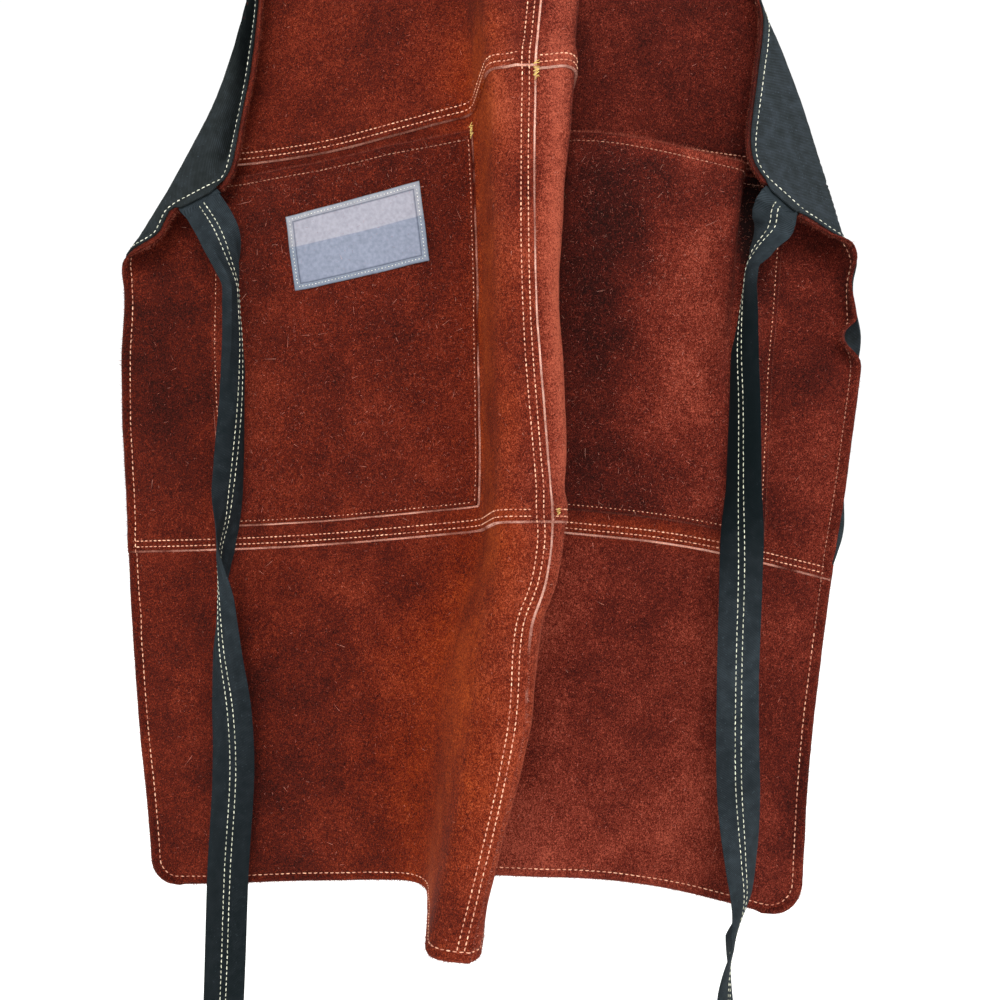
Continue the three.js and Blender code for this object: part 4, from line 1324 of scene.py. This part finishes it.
# Painted light and shade down each tie, by height: darker where it turns side-on under its corner.
TIE_PAINTED_LIGHT = named("z left right", [
    [-700, 0.12, 0.2],
    [-735, 0.1, 0.16],
    [-770, 0, -0.3],
    [-850, -0.08, -0.4],
    [-905, 0.02, -0.3],
    [-960, 0.1, 0],
    [-1020, 0.02, 0.14],
    [-1100, -0.05, 0.05],
    [-1150, -0.1, 0.15],
    [-1230, -0.15, 0.05],
])
TIE_CREASES = named("side start end share deep", [
    [-1, 20, 150, 0.3, 1.5],
    [-1, 240, 390, 0.32, 1.2],
])
CREASE_FADE, CREASE_SHARE = 25, 0.05
ROOT_IN, ROOT_DEEP, ROOT_EDGE, ROOT_CLEAR = 20, 30, 4, 0.6


def tie_root(side):
    """Places and lifts of a tie's sewn end: flat on the hide, then down through a notch in its edge."""
    inset = np.linspace(TIE_INSET, -TIE_BEYOND, ROOT_ROWS)[:, None]
    up = TIE_AT[side] - TIE_WIDE * side * STRAP_SHARES[None] + 0 * inset
    sink = (TIE_SEAT - TIE_FLUSH) * smoothstep(*TIE_SINK, inset)
    return side * (cut_edge(side, up) - inset), up, TIE_SEAT - sink + 0 * up


def strap_root(side):
    """Rows of points of the neck strap's end, flat behind a corner of the bib."""
    depth = np.linspace(ROOT_DEEP, ROOT_EDGE, ROOT_ROWS)[:, None]
    out = side * (BIB_HALF - ROOT_IN - STRAP_SHARES[None] * TIE_WIDE) + 0 * depth
    return out, BIB_TOP - depth + 0 * out


def finish_strap(name, faces, backs, painted_light_and_tone):
    """Makes a strap from the rows of its parts and returns the length of its face."""
    front, back = np.concatenate(faces)[::-1], np.concatenate(backs)[::-1]
    run = np.concatenate([[0], np.cumsum(np.linalg.norm(np.diff(front[:, MIDDLE], axis=0), axis=1))])
    flat = np.stack(np.broadcast_arrays(STRAP_SHARES[None] * TIE_WIDE, run[:, None]), -1)
    piece = sheet(f"twill_{name}", front, back, flat, [tie_twill, tie_twill])
    note(piece, "painted_light_and_tone", np.interp(-front[..., 2], -TIE_PAINTED_LIGHT["z"], painted_light_and_tone))
    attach(piece, "root")
    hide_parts(name)
    return float(run[-1])


def tie_crease(side, run):
    """Old fold lines along a tie: how far each is pressed out of its face."""
    fold = np.zeros((len(run), len(STRAP_SHARES)))
    for where, start, end, share, deep in zip(*TIE_CREASES.values()):
        if where == side:
            ends = smoothstep(start, start + CREASE_FADE, run)
            ends = ends * (1 - smoothstep(end - CREASE_FADE, end, run))
            ridge = np.exp(-(((np.abs(STRAP_SHARES) - share) / CREASE_SHARE) ** 2))
            fold += deep * ends[:, None] * ridge
    return fold


print("a tie's sewn end reaches", TIE_INSET, "mm in from the edge")

# %% Ties and neck strap, sewn on
half = strap_lift(STRAP_SHARES)
for side, word, table in ((-1, "left", TIE_LEFT), (1, "right", TIE_RIGHT)):
    name = f"tie_{word}"
    out, up, lift = tie_root(side)
    face, back = place(out, up, lift), place(out, up, lift + STRAP)
    middle = (face + back) / 2
    way = middle[-1, MIDDLE] - middle[-2, MIDDLE]
    width = middle[-1, -1] - middle[-1, 0]
    lead = (middle[-1, MIDDLE] + way / 2, way / np.linalg.norm(way), width / np.linalg.norm(width))
    band = bands[name] = Band(table, [lead])
    fold = tie_crease(side, np.linspace(0, band.length, len(band.centre)))
    faces = [face, band.points(STRAP_SHARES, fold + half)]
    backs = [back, band.points(STRAP_SHARES, fold - half)]
    length = band.length + TIE_INSET + TIE_BEYOND
    run = finish_strap(name, faces, backs, TIE_PAINTED_LIGHT[word])
    print(name, "leaves the corner at", np.round(lead[0]).tolist(), "face length", round(run), "mm")
band, seat = bands["neck_strap"], -LINING_GAP - TWILL - GAP - ROOT_CLEAR
faces, backs = [band.points(STRAP_SHARES, half)], [band.points(STRAP_SHARES, -half)]
out, up = strap_root(-1)
faces.insert(0, place(out, up, seat - STRAP + 0 * out))
backs.insert(0, place(out, up, seat + 0 * out))
out, up = (values[::-1] for values in strap_root(1))
faces.append(place(out, up, seat - STRAP + 0 * out))
backs.append(place(out, up, seat + 0 * out))
run = finish_strap("neck_strap", faces, backs, 0 * TIE_PAINTED_LIGHT["z"])
print("neck strap face length", round(run), "mm")

# %% [markdown]
# ## Stitches
# One stitch is a short float of thread that dives into the cloth at both ends. It is modelled once,
# with a few dozen faces, and copied along every row by arrays into one mesh for each kind of row. An
# array modifier along a curve would need an object and a curve for every row.

# %% One stitch
STITCH, PITCH = 2.7, 3.4
THREAD_WIDE, THREAD_FLAT = 0.85, 0.8
STITCH_DIVE, STITCH_BLUNT = 0.5, 0.75


def one_stitch():
    """A float of thread, bent down at its ends; returns its points and triangles."""
    start_clean()
    bpy.ops.mesh.primitive_uv_sphere_add(segments=6, ring_count=4, radius=0.5)
    shape = bpy.context.object
    bpy.ops.object.mode_set(mode="EDIT")
    bpy.ops.transform.rotate(value=math.pi / 2, orient_axis="Y", center_override=(0, 0, 0))
    bpy.ops.mesh.quads_convert_to_tris()
    bpy.ops.object.mode_set(mode="OBJECT")
    points = np.array([v.co for v in shape.data.vertices])
    # The operator leaves its triangles in no fixed order: each is turned to start at its lowest
    # number and then all are sorted, so that every run gives the same mesh.
    faces = [list(face.vertices) for face in shape.data.polygons]
    faces = [np.roll(corners, -corners.index(min(corners))).tolist() for corners in faces]
    faces = np.array(sorted(faces))
    bpy.data.objects.remove(shape)
    points[:, 0] = np.sign(points[:, 0]) * (2 * np.abs(points[:, 0])) ** STITCH_BLUNT / 2
    points *= [STITCH, THREAD_WIDE, THREAD_WIDE * THREAD_FLAT]
    points[:, 2] -= STITCH_DIVE * (2 * points[:, 0] / STITCH) ** 2
    return points, faces


stitch_points, stitch_faces = one_stitch()
print("one stitch has", len(stitch_faces), "triangles")

# %% Rows of stitches
STITCH_LIFT, STITCH_UNEVEN, STITCH_SHADES = 0.2, 0.06, (0.55, 0.3)


def joined(name, points, faces, material, shade):
    """One mesh from arrays of points and triangles."""
    mesh = bpy.data.meshes.new(name)
    mesh.from_pydata(points.tolist(), [], faces.tolist())
    mesh.materials.append(material)
    attribute = mesh.attributes.new("shade", "FLOAT", "POINT")
    attribute.data.foreach_set("value", shade.astype(np.float32))
    mesh.shade_smooth()
    piece = bpy.data.objects.new(name, mesh)
    bpy.context.scene.collection.objects.link(piece)
    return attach(piece, "root")


def along_line(points, normals, pitch=PITCH):
    """Places, directions and normals of the stitches along a line of points."""
    run = np.concatenate([[0], np.cumsum(np.linalg.norm(np.diff(points, axis=0), axis=1))])
    at = np.arange(pitch / 2, run[-1] - pitch / 2, pitch)

    def look(values, s):
        return np.stack([np.interp(s, run, values[:, k]) for k in range(3)], -1)

    along = look(points, at + 1) - look(points, at - 1)
    along /= np.linalg.norm(along, axis=1, keepdims=True)
    normal = look(normals, at)
    normal -= along * np.sum(normal * along, 1, keepdims=True)
    return look(points, at), along, normal / np.linalg.norm(normal, axis=1, keepdims=True)


def stitch_mesh(name, at, along, normal, material, seed, scale, sway=0.07):
    """One mesh of stitches from their places, directions and normals."""
    rng = np.random.default_rng(seed)
    count = len(at)
    side = np.cross(normal, along)
    turn = rng.normal(0, sway, count)[:, None]
    along, side = along * np.cos(turn) + side * np.sin(turn), side * np.cos(turn) - along * np.sin(turn)
    local = stitch_points[None] * (np.asarray(scale) * rng.normal(1, STITCH_UNEVEN, (count, 3)))[:, None]
    spot = at[:, None] + local[..., :1] * along[:, None] + local[..., 1:2] * side[:, None]
    spot = spot + (local[..., 2:] + STITCH_LIFT) * normal[:, None]
    many = len(stitch_points)
    faces = (stitch_faces[None] + many * np.arange(count)[:, None, None]).reshape(-1, 3)
    shade = np.repeat(np.clip(rng.normal(*STITCH_SHADES, count), 0, 1), many)
    print(name, count, "stitches,", len(faces), "triangles")
    return joined(name, spot.reshape(-1, 3) * MM, faces, material, shade)


def sew(name, lines, material, seed, scale=1.0, pitch=PITCH):
    """Stitches along all the lines, as one mesh."""
    parts = [along_line(points, normals, pitch) for points, normals in lines]
    at, along, normal = (np.concatenate([p[i] for p in parts]) for i in range(3))
    return stitch_mesh(name, at, along, normal, material, seed, scale)


def line_on(out, up, lift, back=False, surface=cloth):
    """A line of points over a sheet with the way that its face looks."""
    normal = facing(out, up, surface) * (-1 if back else 1)
    return place(out, up, lift + 0 * out, surface), normal


# %% [markdown]
# ### Seam rows
# A twin-needle machine sews each lap with two rows side by side. The centre rows run from hem to bib
# top, and the level rows stop beside them, as where one seam is sewn over another. Each row is a line
# of places on the face of the hide, sunk into the groove that its thread pulls.

# %% Seams of the panels
END_ROOM, CROSS_FROM = 2, 1


def steps(low, high, step=1.5):
    """Even steps along a row, both ends included."""
    return np.linspace(low, high, max(2, round(abs(high - low) / step)))


seam_lines = []
for row in SEAM_ROWS:
    up = steps(EDGE_ROW, BIB_TOP - EDGE_ROW)
    out = np.full_like(up, -row)
    seam_lines.append(line_on(out, up, suede_top(out, up) - GROOVE))
    for seam in (LOWER_SEAM, UPPER_SEAM):
        left = (-cut_edge(-1, seam + row) + END_ROOM, -SEAM_ROWS[1] - END_ROOM)
        right = (CROSS_FROM, cut_edge(1, seam + row) - END_ROOM)
        for low, high in (left, right):
            out = steps(low, high)
            up = np.full_like(out, seam + row)
            seam_lines.append(line_on(out, up, suede_top(out, up) - GROOVE))
sew("seam_stitching", seam_lines, seam_thread, 31)

# %% [markdown]
# ### Edge row
# One row runs round the whole apron and holds hide and lining together: peach thread on the hide, white
# on the lining. A stretch of it on the right edge, where the edge curls, is darkened as painted shade,
# and so it is sewn later with the duller thread of the pocket mouths.

# %% Outer edge, on the suede and through to the lining
EDGE_PITCH, EDGE_SIZE = 4.2, (1.12, 0.9, 1.0)
SHADED_ROW = (215, 425)
HIDE_LIFT, LINING_LIFT = 0.3, 0.5


def outline(inset):
    """Places inside the cut edge, down one side, along the hem and up the other, and the way in."""
    half = {}
    for side in (-1, 1):
        radius = CORNER_RADIUS[side]
        up = np.concatenate([np.linspace(0, radius, 60), np.arange(radius + 1, BIB_TOP + 1)])
        half[side] = np.stack([side * cut_edge(side, up), up], -1)
    hem = steps(half[-1][0, 0], half[1][0, 0])
    hem = np.stack([hem, 0 * hem], -1)
    path = np.concatenate([half[-1][::-1], hem[1:-1], half[1]])
    along = np.gradient(path, axis=0)
    along /= np.maximum(np.linalg.norm(along, axis=1, keepdims=True), TINY)
    inward = np.stack([-along[:, 1], along[:, 0]], -1)
    path = path + inward * inset
    kept = (path[:, 1] > inset - 0.5) & (path[:, 1] < BIB_TOP - inset)
    return path[kept], inward[kept]


edge_out, edge_up = outline(EDGE_ROW)[0].T
top_out = steps(-BIB_HALF + EDGE_ROW, BIB_HALF - EDGE_ROW)
top_up = np.full_like(top_out, BIB_TOP - EDGE_ROW)
edge_lines, back_lines, dull_lines = [], [], []
# The stretch of the right edge row that is darkened as painted shade.
dimmed = (edge_out > 0) & (edge_up > SHADED_ROW[0]) & (edge_up < SHADED_ROW[1])
first, last = np.flatnonzero(dimmed)[[0, -1]]
for lines, out, up in (
    (edge_lines, edge_out[:first], edge_up[:first]),
    (dull_lines, edge_out[first:last], edge_up[first:last]),
    (edge_lines, edge_out[last:], edge_up[last:]),
    (edge_lines, top_out, top_up),
):
    lines.append(line_on(out, up, suede_top(out, up) - GROOVE + HIDE_LIFT))
for out, up in ((edge_out, edge_up), (top_out, top_up)):
    lift = np.full_like(out, -LINING_GAP - TWILL - LINING_LIFT)
    back_lines.append(line_on(out, up, lift, True, backing))
sew("edge_stitching", edge_lines, seam_thread, 32, EDGE_SIZE, EDGE_PITCH)
sew("lining_stitching", back_lines, white_thread, 33, EDGE_SIZE, EDGE_PITCH)

# %% [markdown]
# ### Pocket and label rows
# A pocket is sewn near its two sides and its foot, and its mouth has a row of its own in a duller
# thread. The label has one fine white row. All are laid on the pocket's own bellied surface, so that no
# stitch floats or sinks.

# %% Pockets and label
POCKET_LIFT, MOUTH_END = 0.35, 3
POCKET_SIZE, MOUTH_SIZE, LABEL_SIZE = 0.85, (0.85, 0.7, 0.75), (0.62, 0.85, 0.8)
pocket_lines, mouth_lines = [], dull_lines
for i, mouth in enumerate(POCKETS["mouth"]):
    surface, lift = pocket_back(i), SUEDE - GROOVE + POCKET_LIFT
    for edge in (0, 1):
        up = steps(POCKET_FOOT + POCKET_ROW, mouth - MOUTH_END)
        out = pocket_span(i, up)[edge] + (POCKET_ROW if edge == 0 else -POCKET_ROW)
        pocket_lines.append(line_on(out, up, lift, surface=surface))
    for lines, up_at in ((pocket_lines, POCKET_FOOT + POCKET_ROW), (mouth_lines, mouth - MOUTH_ROW)):
        low, high = pocket_span(i, np.array([up_at]))
        out = steps(low[0] + POCKET_ROW, high[0] - POCKET_ROW)
        lines.append(line_on(out, np.full_like(out, up_at), lift, surface=surface))
sew("pocket_stitching", pocket_lines, seam_thread, 34, POCKET_SIZE)
sew("mouth_stitching", mouth_lines, dull_shaded_thread, 38, MOUTH_SIZE)

LABEL_PITCH = 2.5
label_lines = []
for a, b in (((-1, -1), (1, -1)), ((1, -1), (1, 1)), ((1, 1), (-1, 1)), ((-1, 1), (-1, -1))):
    reach = np.array([LABEL["wide"] / 2 - LABEL_ROW, LABEL["tall"] / 2 - LABEL_ROW])
    t = np.linspace(0, 1, 70)[:, None]
    path = reach * (np.array(a) * (1 - t) + np.array(b) * t)
    out, up = label_spot(path[:, 0], path[:, 1])
    label_lines.append(line_on(out, up, SUEDE + LABEL_GAP + LABEL["thick"], surface=label_ground))
sew("label_stitching", label_lines, white_thread, 35, LABEL_SIZE, LABEL_PITCH)

# %% [markdown]
# ### Strap rows
# Both faces of a strap show its two rows, so each row is laid on the front and again on the back. A
# point a little further out gives the way that the face looks there, curled or twisted.

# %% Ties and strap, on both faces
STRAP_PITCH, STRAP_SIZE = 3.9, (1.1, 0.85, 0.9)
strap_lines = []
for band in bands.values():
    for share in (-STRAP_ROW / TIE_WIDE, STRAP_ROW / TIE_WIDE):
        for face in (1, -1):
            lift = strap_lift(np.array([share]))
            points = band.points(np.array([share]), face * lift)[:, 0]
            beyond = band.points(np.array([share]), face * (lift + 1))[:, 0]
            strap_lines.append((points, beyond - points))
sew("strap_stitching", strap_lines, tie_thread, 36, STRAP_SIZE, STRAP_PITCH)

# %% [markdown]
# ### Bar tacks
# Where a pocket's mouth or a crossing would tear first, a few close stitches of gold thread lie across
# the seam. A machine sews them as a dense zigzag. Here they are the same stitch again, stretched and
# laid side by side a little unevenly.

# %% Bar tacks
TACKS = named("pocket out up length reach", [
    [0, -89, 540, 9, 4.8],
    [-1, 0, 550, 9, 4.8],
    [-1, 3, 262, 4, 3.0],
    [0, -286, 535, 9, 4.8],
    [1, 262, 541, 9, 4.8],
])
TACK_STEP, TACK_LIFT, TACK_SWAY = 1.05, 0.25, 0.4
TACK_SLANT, TACK_SIZE = (2, 0.6), (0.7, 0.8)
spots = []
for pocket, out, up, length, reach in zip(*TACKS.values()):
    ups = np.arange(up - length / 2, up + length / 2, TACK_STEP)
    outs = np.full_like(ups, out)
    surface = cloth if pocket < 0 else pocket_back(int(pocket))
    lift = suede_top(outs, ups) if pocket < 0 else SUEDE + 0 * ups
    at, normal = place(outs, ups, lift + TACK_LIFT, surface), facing(outs, ups, surface)
    right, rise = TACK_SLANT
    along = place(outs + right, ups + rise, lift, surface)
    along = along - place(outs - right, ups - rise, lift, surface)
    along /= np.linalg.norm(along, axis=1, keepdims=True)
    spots.append((at, along, normal, np.full(len(at), reach / STITCH)))
at, along, normal, reach = (np.concatenate([spot[k] for spot in spots]) for k in range(4))
tack_scale = np.stack([reach, *(size + 0 * reach for size in TACK_SIZE)], -1)
stitch_mesh("bar_tacks", at, along, normal, tack_thread, 37, tack_scale, TACK_SWAY)

# %% [markdown]
# ## Fuzz
# Cut suede sheds fibres, so every raw edge carries a ragged fringe, and the nap throws stray pale
# hairs that catch the light. Particle hair would be lost in the export, so each hair is a closed spike
# of four triangles, set by arrays: dense on the edges, thin over the faces.

# %% Loose fibres
def suede_fibres(name):
    """Loose fibres: dark at the low end of their shade, pale pink at the high end."""
    material, tree = new_material(name)
    shade = node(tree, "Attribute", attribute_name="shade").outputs["Fac"]
    colour = node(tree, "ValToRGB", {"Fac": shade}, stops=[
        (0.0, "#4a140b"), (1.0, "#d9a594"), (0.35, "#732d1f"), (0.7, "#a05a48"),
    ])
    shader = node(tree, "BsdfPrincipled", {
        "Base Color": colour.outputs["Color"], "Roughness": 0.9, "Specular IOR Level": 0.1,
    })
    node(tree, "OutputMaterial", {"Surface": shader.outputs["BSDF"]})
    return material


fibre_material = suede_fibres("loose_suede_fibres")
# The three corners of a hair's foot, a third of a turn apart.
THIRDS = (0, 2.094, 4.189)
BARE_FROM, HAIR_NUDGE, HAIR_SPREAD = 0.3, 1.5, (5, 0.2)
FRINGE_INSET, FRINGE_RISE, FRINGE_SWAY = (0.2, 1.4), (0.15, 0.55), 0.45


def unit(vectors):
    """The same ways, one long."""
    return vectors / np.maximum(np.linalg.norm(vectors, axis=-1, keepdims=True), TINY)


def hairs(name, roots, ways, length, thick, shade, seed):
    """One mesh of spikes that stand on their roots."""
    rng = np.random.default_rng(seed)
    count = len(roots)
    ways = unit(ways)
    u = unit(np.cross(ways, rng.normal(size=(count, 3))))
    v = np.cross(ways, u)
    ring = [roots + thick * (math.cos(a) * u + math.sin(a) * v) for a in THIRDS]
    points = np.stack([*ring, roots + ways * length[:, None]], 1).reshape(-1, 3)
    spike = np.array([[0, 1, 3], [1, 2, 3], [2, 0, 3], [0, 2, 1]])
    faces = (spike[None] + 4 * np.arange(count)[:, None, None]).reshape(-1, 3)
    print(name, count, "hairs,", len(faces), "triangles")
    return joined(name, points * MM, faces, fibre_material, np.repeat(shade, 4))


def fringe(out, up, way_out, way_up, low, high, surface, per_mm, long, rng, bare=None):
    """Roots and ways of a ragged fringe along a line of places; the ways point off the edge."""
    points = surface(out, up)
    run = np.concatenate([[0], np.cumsum(np.linalg.norm(np.diff(points, axis=0), axis=1))])
    at = np.sort(rng.uniform(0, run[-1], int(run[-1] * per_mm)))
    if bare is not None:
        at = at[np.interp(at, run, bare) < BARE_FROM]

    def look(values):
        return np.interp(at, run, values + 0 * out)

    o, u, wo, wu = look(out), look(up), look(way_out), look(way_up)
    inset = rng.uniform(*FRINGE_INSET, len(at))
    o, u = o - wo * inset, u - wu * inset
    normal = facing(o, u, surface)
    do, du = wo * HAIR_NUDGE, wu * HAIR_NUDGE
    off = unit(surface(o + do, u + du) - surface(o - do, u - du))
    lift = look(low) + (look(high) - look(low)) * rng.uniform(0, 1, len(at))
    roots = surface(o, u) + normal * lift[:, None]
    rise = rng.normal(*FRINGE_RISE, len(at))[:, None]
    ways = off + normal * rise + rng.normal(0, FRINGE_SWAY, (len(at), 3))
    lengths = look(long) * rng.gamma(*HAIR_SPREAD, len(at))
    return roots, ways, lengths, rng.uniform(0, 1, len(at))


def gathered(parts):
    """Like columns of all the parts, joined end to end."""
    return [np.concatenate(column) for column in zip(*parts)]


print("material:", fibre_material.name)

# %% Fringe of the raw edges
EDGE_BAND, EDGE_DENSE, EDGE_LONG, EDGE_HAIR = (2.6, 0.2), 5.5, 1.25, 0.16
FLAP_FROM, FLAP_TO, FLAP_LONGER = (490, 505), (550, 570), 1.3
# A gaping mouth shows more of its lip, so its fringe is thicker and longer.
LIP_BAND, LIP_DENSE, LIP_LONG, LIP_LONGER = (0.2, 2.4), 6, 1.0, 0.35
SIDE_BAND, SIDE_DENSE, SIDE_LONG = (0.1, 1.2), 2, 1.1
rng = np.random.default_rng(41)
path, inward = outline(0.0)
top = suede_top(*path.T) + RIM_SWELL * SUEDE
sewn = np.maximum(at_tie(-1, path[:, 1]) * (path[:, 0] < 0), at_tie(1, path[:, 1]) * (path[:, 0] > 0))
flap = smoothstep(*FLAP_FROM, path[:, 1]) * (1 - smoothstep(*FLAP_TO, path[:, 1]))
low, high = (top - depth for depth in EDGE_BAND)
long = EDGE_LONG + FLAP_LONGER * flap
parts = [fringe(*path.T, *(-inward.T), low, high, cloth, EDGE_DENSE, long, rng, sewn)]
for i, mouth in enumerate(POCKETS["mouth"]):
    low, high = pocket_span(i, np.array([mouth]))
    out = steps(low[0], high[0])
    thick = 1 + POCKETS["gape"][i]
    level, upward, long = 0 * out, 1 + 0 * out, LIP_LONG + LIP_LONGER * thick
    parts.append(fringe(
        out, mouth + level, level, upward, *LIP_BAND, pocket_back(i), LIP_DENSE * thick, long, rng))
    for edge in (0, 1):
        up = steps(POCKET_FOOT, mouth)
        out = pocket_span(i, up)[edge]
        sideways = (2 * edge - 1) + 0 * out
        parts.append(fringe(
            out, up, sideways, 0 * out, *SIDE_BAND, pocket_back(i), SIDE_DENSE, SIDE_LONG, rng))
roots, ways, lengths, shades = gathered(parts)
hairs("edge_fuzz", roots, ways, lengths, EDGE_HAIR, 0.15 + 0.55 * shades, 42)

# %% Fringe of the lapped seams
LAP_BAND, LAP_LONG, THIN_HAIR = (1.6, 0.3), 1.2, 0.13


def lap_fringe(out, up, way_out, way_up, top, per_mm):
    """The short fringe of a skived lap, rooted in the upper part of its cut."""
    low, high = (top - depth for depth in LAP_BAND)
    return fringe(out, up, way_out + 0 * out, way_up + 0 * out, low, high, cloth, per_mm, LAP_LONG, rng)


up = steps(END_ROOM, BIB_TOP - END_ROOM)
out = 0 * up
parts = [lap_fringe(out, up, 1, 0, suede_top(out - 1, up), 1.6)]
for seam in (LOWER_SEAM, UPPER_SEAM):
    out = steps(-cut_edge(-1, seam) + END_ROOM, cut_edge(1, seam) - END_ROOM)
    up = np.full_like(out, seam)
    parts.append(lap_fringe(out, up, 0, -1, suede_top(out, up + 1), 1.4))
roots, ways, lengths, shades = gathered(parts)
hairs("lap_fuzz", roots, ways, lengths, THIN_HAIR, 0.5 + 0.5 * shades, 43)

# %% [markdown]
# ### Stray hairs
# The nap itself is drawn by the material, and some thousands of real hairs lie over it and break up its
# surface. Fewer are kept where the hide turns side-on, because there they would crowd together, and a
# very few are long and pale, as loose fibres are.

# %% Stray hairs of the nap
NAP_HAIRS, POCKET_HAIRS, NAP_LONG = 26000, 9000, 1.9
NAP_ROOM, NAP_ROOT, NAP_RISE, NAP_SHADES = 3, 0.15, (0.1, 1.0), (1.6, 1.9)
SIDE_ON = (0.2, 0.9)
LOOSE_SHARE, LOOSE_TIMES, LOOSE_SHADE = 0.004, 3, 0.95


def stray(out, up, lift, surface, rng):
    """Roots and ways of hairs that lie over a face."""
    normal = facing(out, up, surface)
    lying = unit(np.cross(normal, rng.normal(size=normal.shape)))
    roots = place(out, up, lift - NAP_ROOT, surface)
    ways = lying + normal * rng.uniform(*NAP_RISE, len(out))[:, None]
    kept = rng.uniform(*SIDE_ON, len(out)) < -normal[:, 1]
    return roots[kept], ways[kept]


up = rng.uniform(NAP_ROOM, BIB_TOP - NAP_ROOM, NAP_HAIRS)
share = rng.uniform(-1, 1, NAP_HAIRS)
out = share * (cut_edge(1, up) - NAP_ROOM)
left = share < 0
out[left] = share[left] * (cut_edge(-1, up[left]) - NAP_ROOM)
parts = [stray(out, up, suede_top(out, up), cloth, rng)]
for i, mouth in enumerate(POCKETS["mouth"]):
    up = rng.uniform(POCKET_FOOT + NAP_ROOM, mouth - END_ROOM, POCKET_HAIRS)
    low, high = pocket_span(i, up)
    out = low + NAP_ROOM + (high - low - 2 * NAP_ROOM) * rng.uniform(0, 1, POCKET_HAIRS)
    parts.append(stray(out, up, SUEDE + 0 * out, pocket_back(i), rng))
roots, ways = gathered(parts)
lengths = NAP_LONG * rng.gamma(*HAIR_SPREAD, len(roots))
shades = rng.beta(*NAP_SHADES, len(roots))
loose = rng.uniform(0, 1, len(roots)) < LOOSE_SHARE
lengths[loose], shades[loose] = LOOSE_TIMES * lengths[loose], LOOSE_SHADE
hairs("nap_hairs", roots, ways, lengths, THIN_HAIR, shades, 44)

# %% [markdown]
# ## Stage and light
# A hung garment on white needs big soft light: a wide key in front and above, a weak fill from each
# side, and a pale room that is brightest behind the apron. One hard lamp would draw the folds more
# sharply, but with black shadows. The floor lies below the ends of the ties.

# %% Floor
FLOOR_SIZE, FLOOR_DROP = 24, 0.03
low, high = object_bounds()
start_clean()
bpy.ops.mesh.primitive_plane_add(size=FLOOR_SIZE, location=(0, 0, low.z - FLOOR_DROP))
floor = bpy.context.object
floor.name = "floor"
pale, tree = new_material("pale_floor_paint")
shader = node(tree, "BsdfPrincipled", {
    "Base Color": linear("#f4f4f2"), "Roughness": 0.9,
    "Emission Color": linear("#ffffff"), "Emission Strength": 0.55,
})
node(tree, "OutputMaterial", {"Surface": shader.outputs["BSDF"]})
floor.data.materials.append(pale)
print("floor at", round(low.z - FLOOR_DROP, 3), "m")

# %% Lights
# Name, place, what it points at, size in metres, watts.
LIGHTS = [
    ("key", (0.0, -2.4, 0.35), (0.0, 0.0, -0.85), 1.5, 72.0),
    ("left fill", (-2.0, -1.5, -0.4), (0.0, 0.0, -0.9), 1.6, 11.0),
    ("right fill", (2.0, -1.5, -0.4), (0.0, 0.0, -0.9), 1.6, 14.0),
]
for name, at, aim, size, watts in LIGHTS:
    start_clean()
    bpy.ops.object.light_add(type="AREA", location=at)
    light = bpy.context.object
    light.name, light.data.size, light.data.energy = name, size, watts
    light.rotation_euler = (Vector(aim) - Vector(at)).to_track_quat("-Z", "Y").to_euler()
print(len(LIGHTS), "soft lights")

# %% Pale room
# The room is dim in front of the apron and bright behind it, by how far back a direction points.
ROOM_TURN, ROOM_LIGHT = (-0.2, 0.45), (0.38, 1.05)
world = bpy.data.worlds.new("pale_room")
bpy.context.scene.world = world
world.use_nodes = True
tree = world.node_tree
tree.nodes.clear()
way = node(tree, "TexCoord").outputs["Generated"]
behind = node(tree, "SeparateXYZ", {0: way}).outputs["Y"]
brighter = dict(enumerate([behind, *ROOM_TURN, *ROOM_LIGHT]))
bright = node(tree, "MapRange", brighter).outputs[0]
room = node(tree, "Background", {"Color": linear("#ffffff"), "Strength": bright})
node(tree, "OutputWorld", {"Surface": room.outputs["Background"]})
bpy.context.scene.view_settings.view_transform = "Standard"
print("room:", world.name)
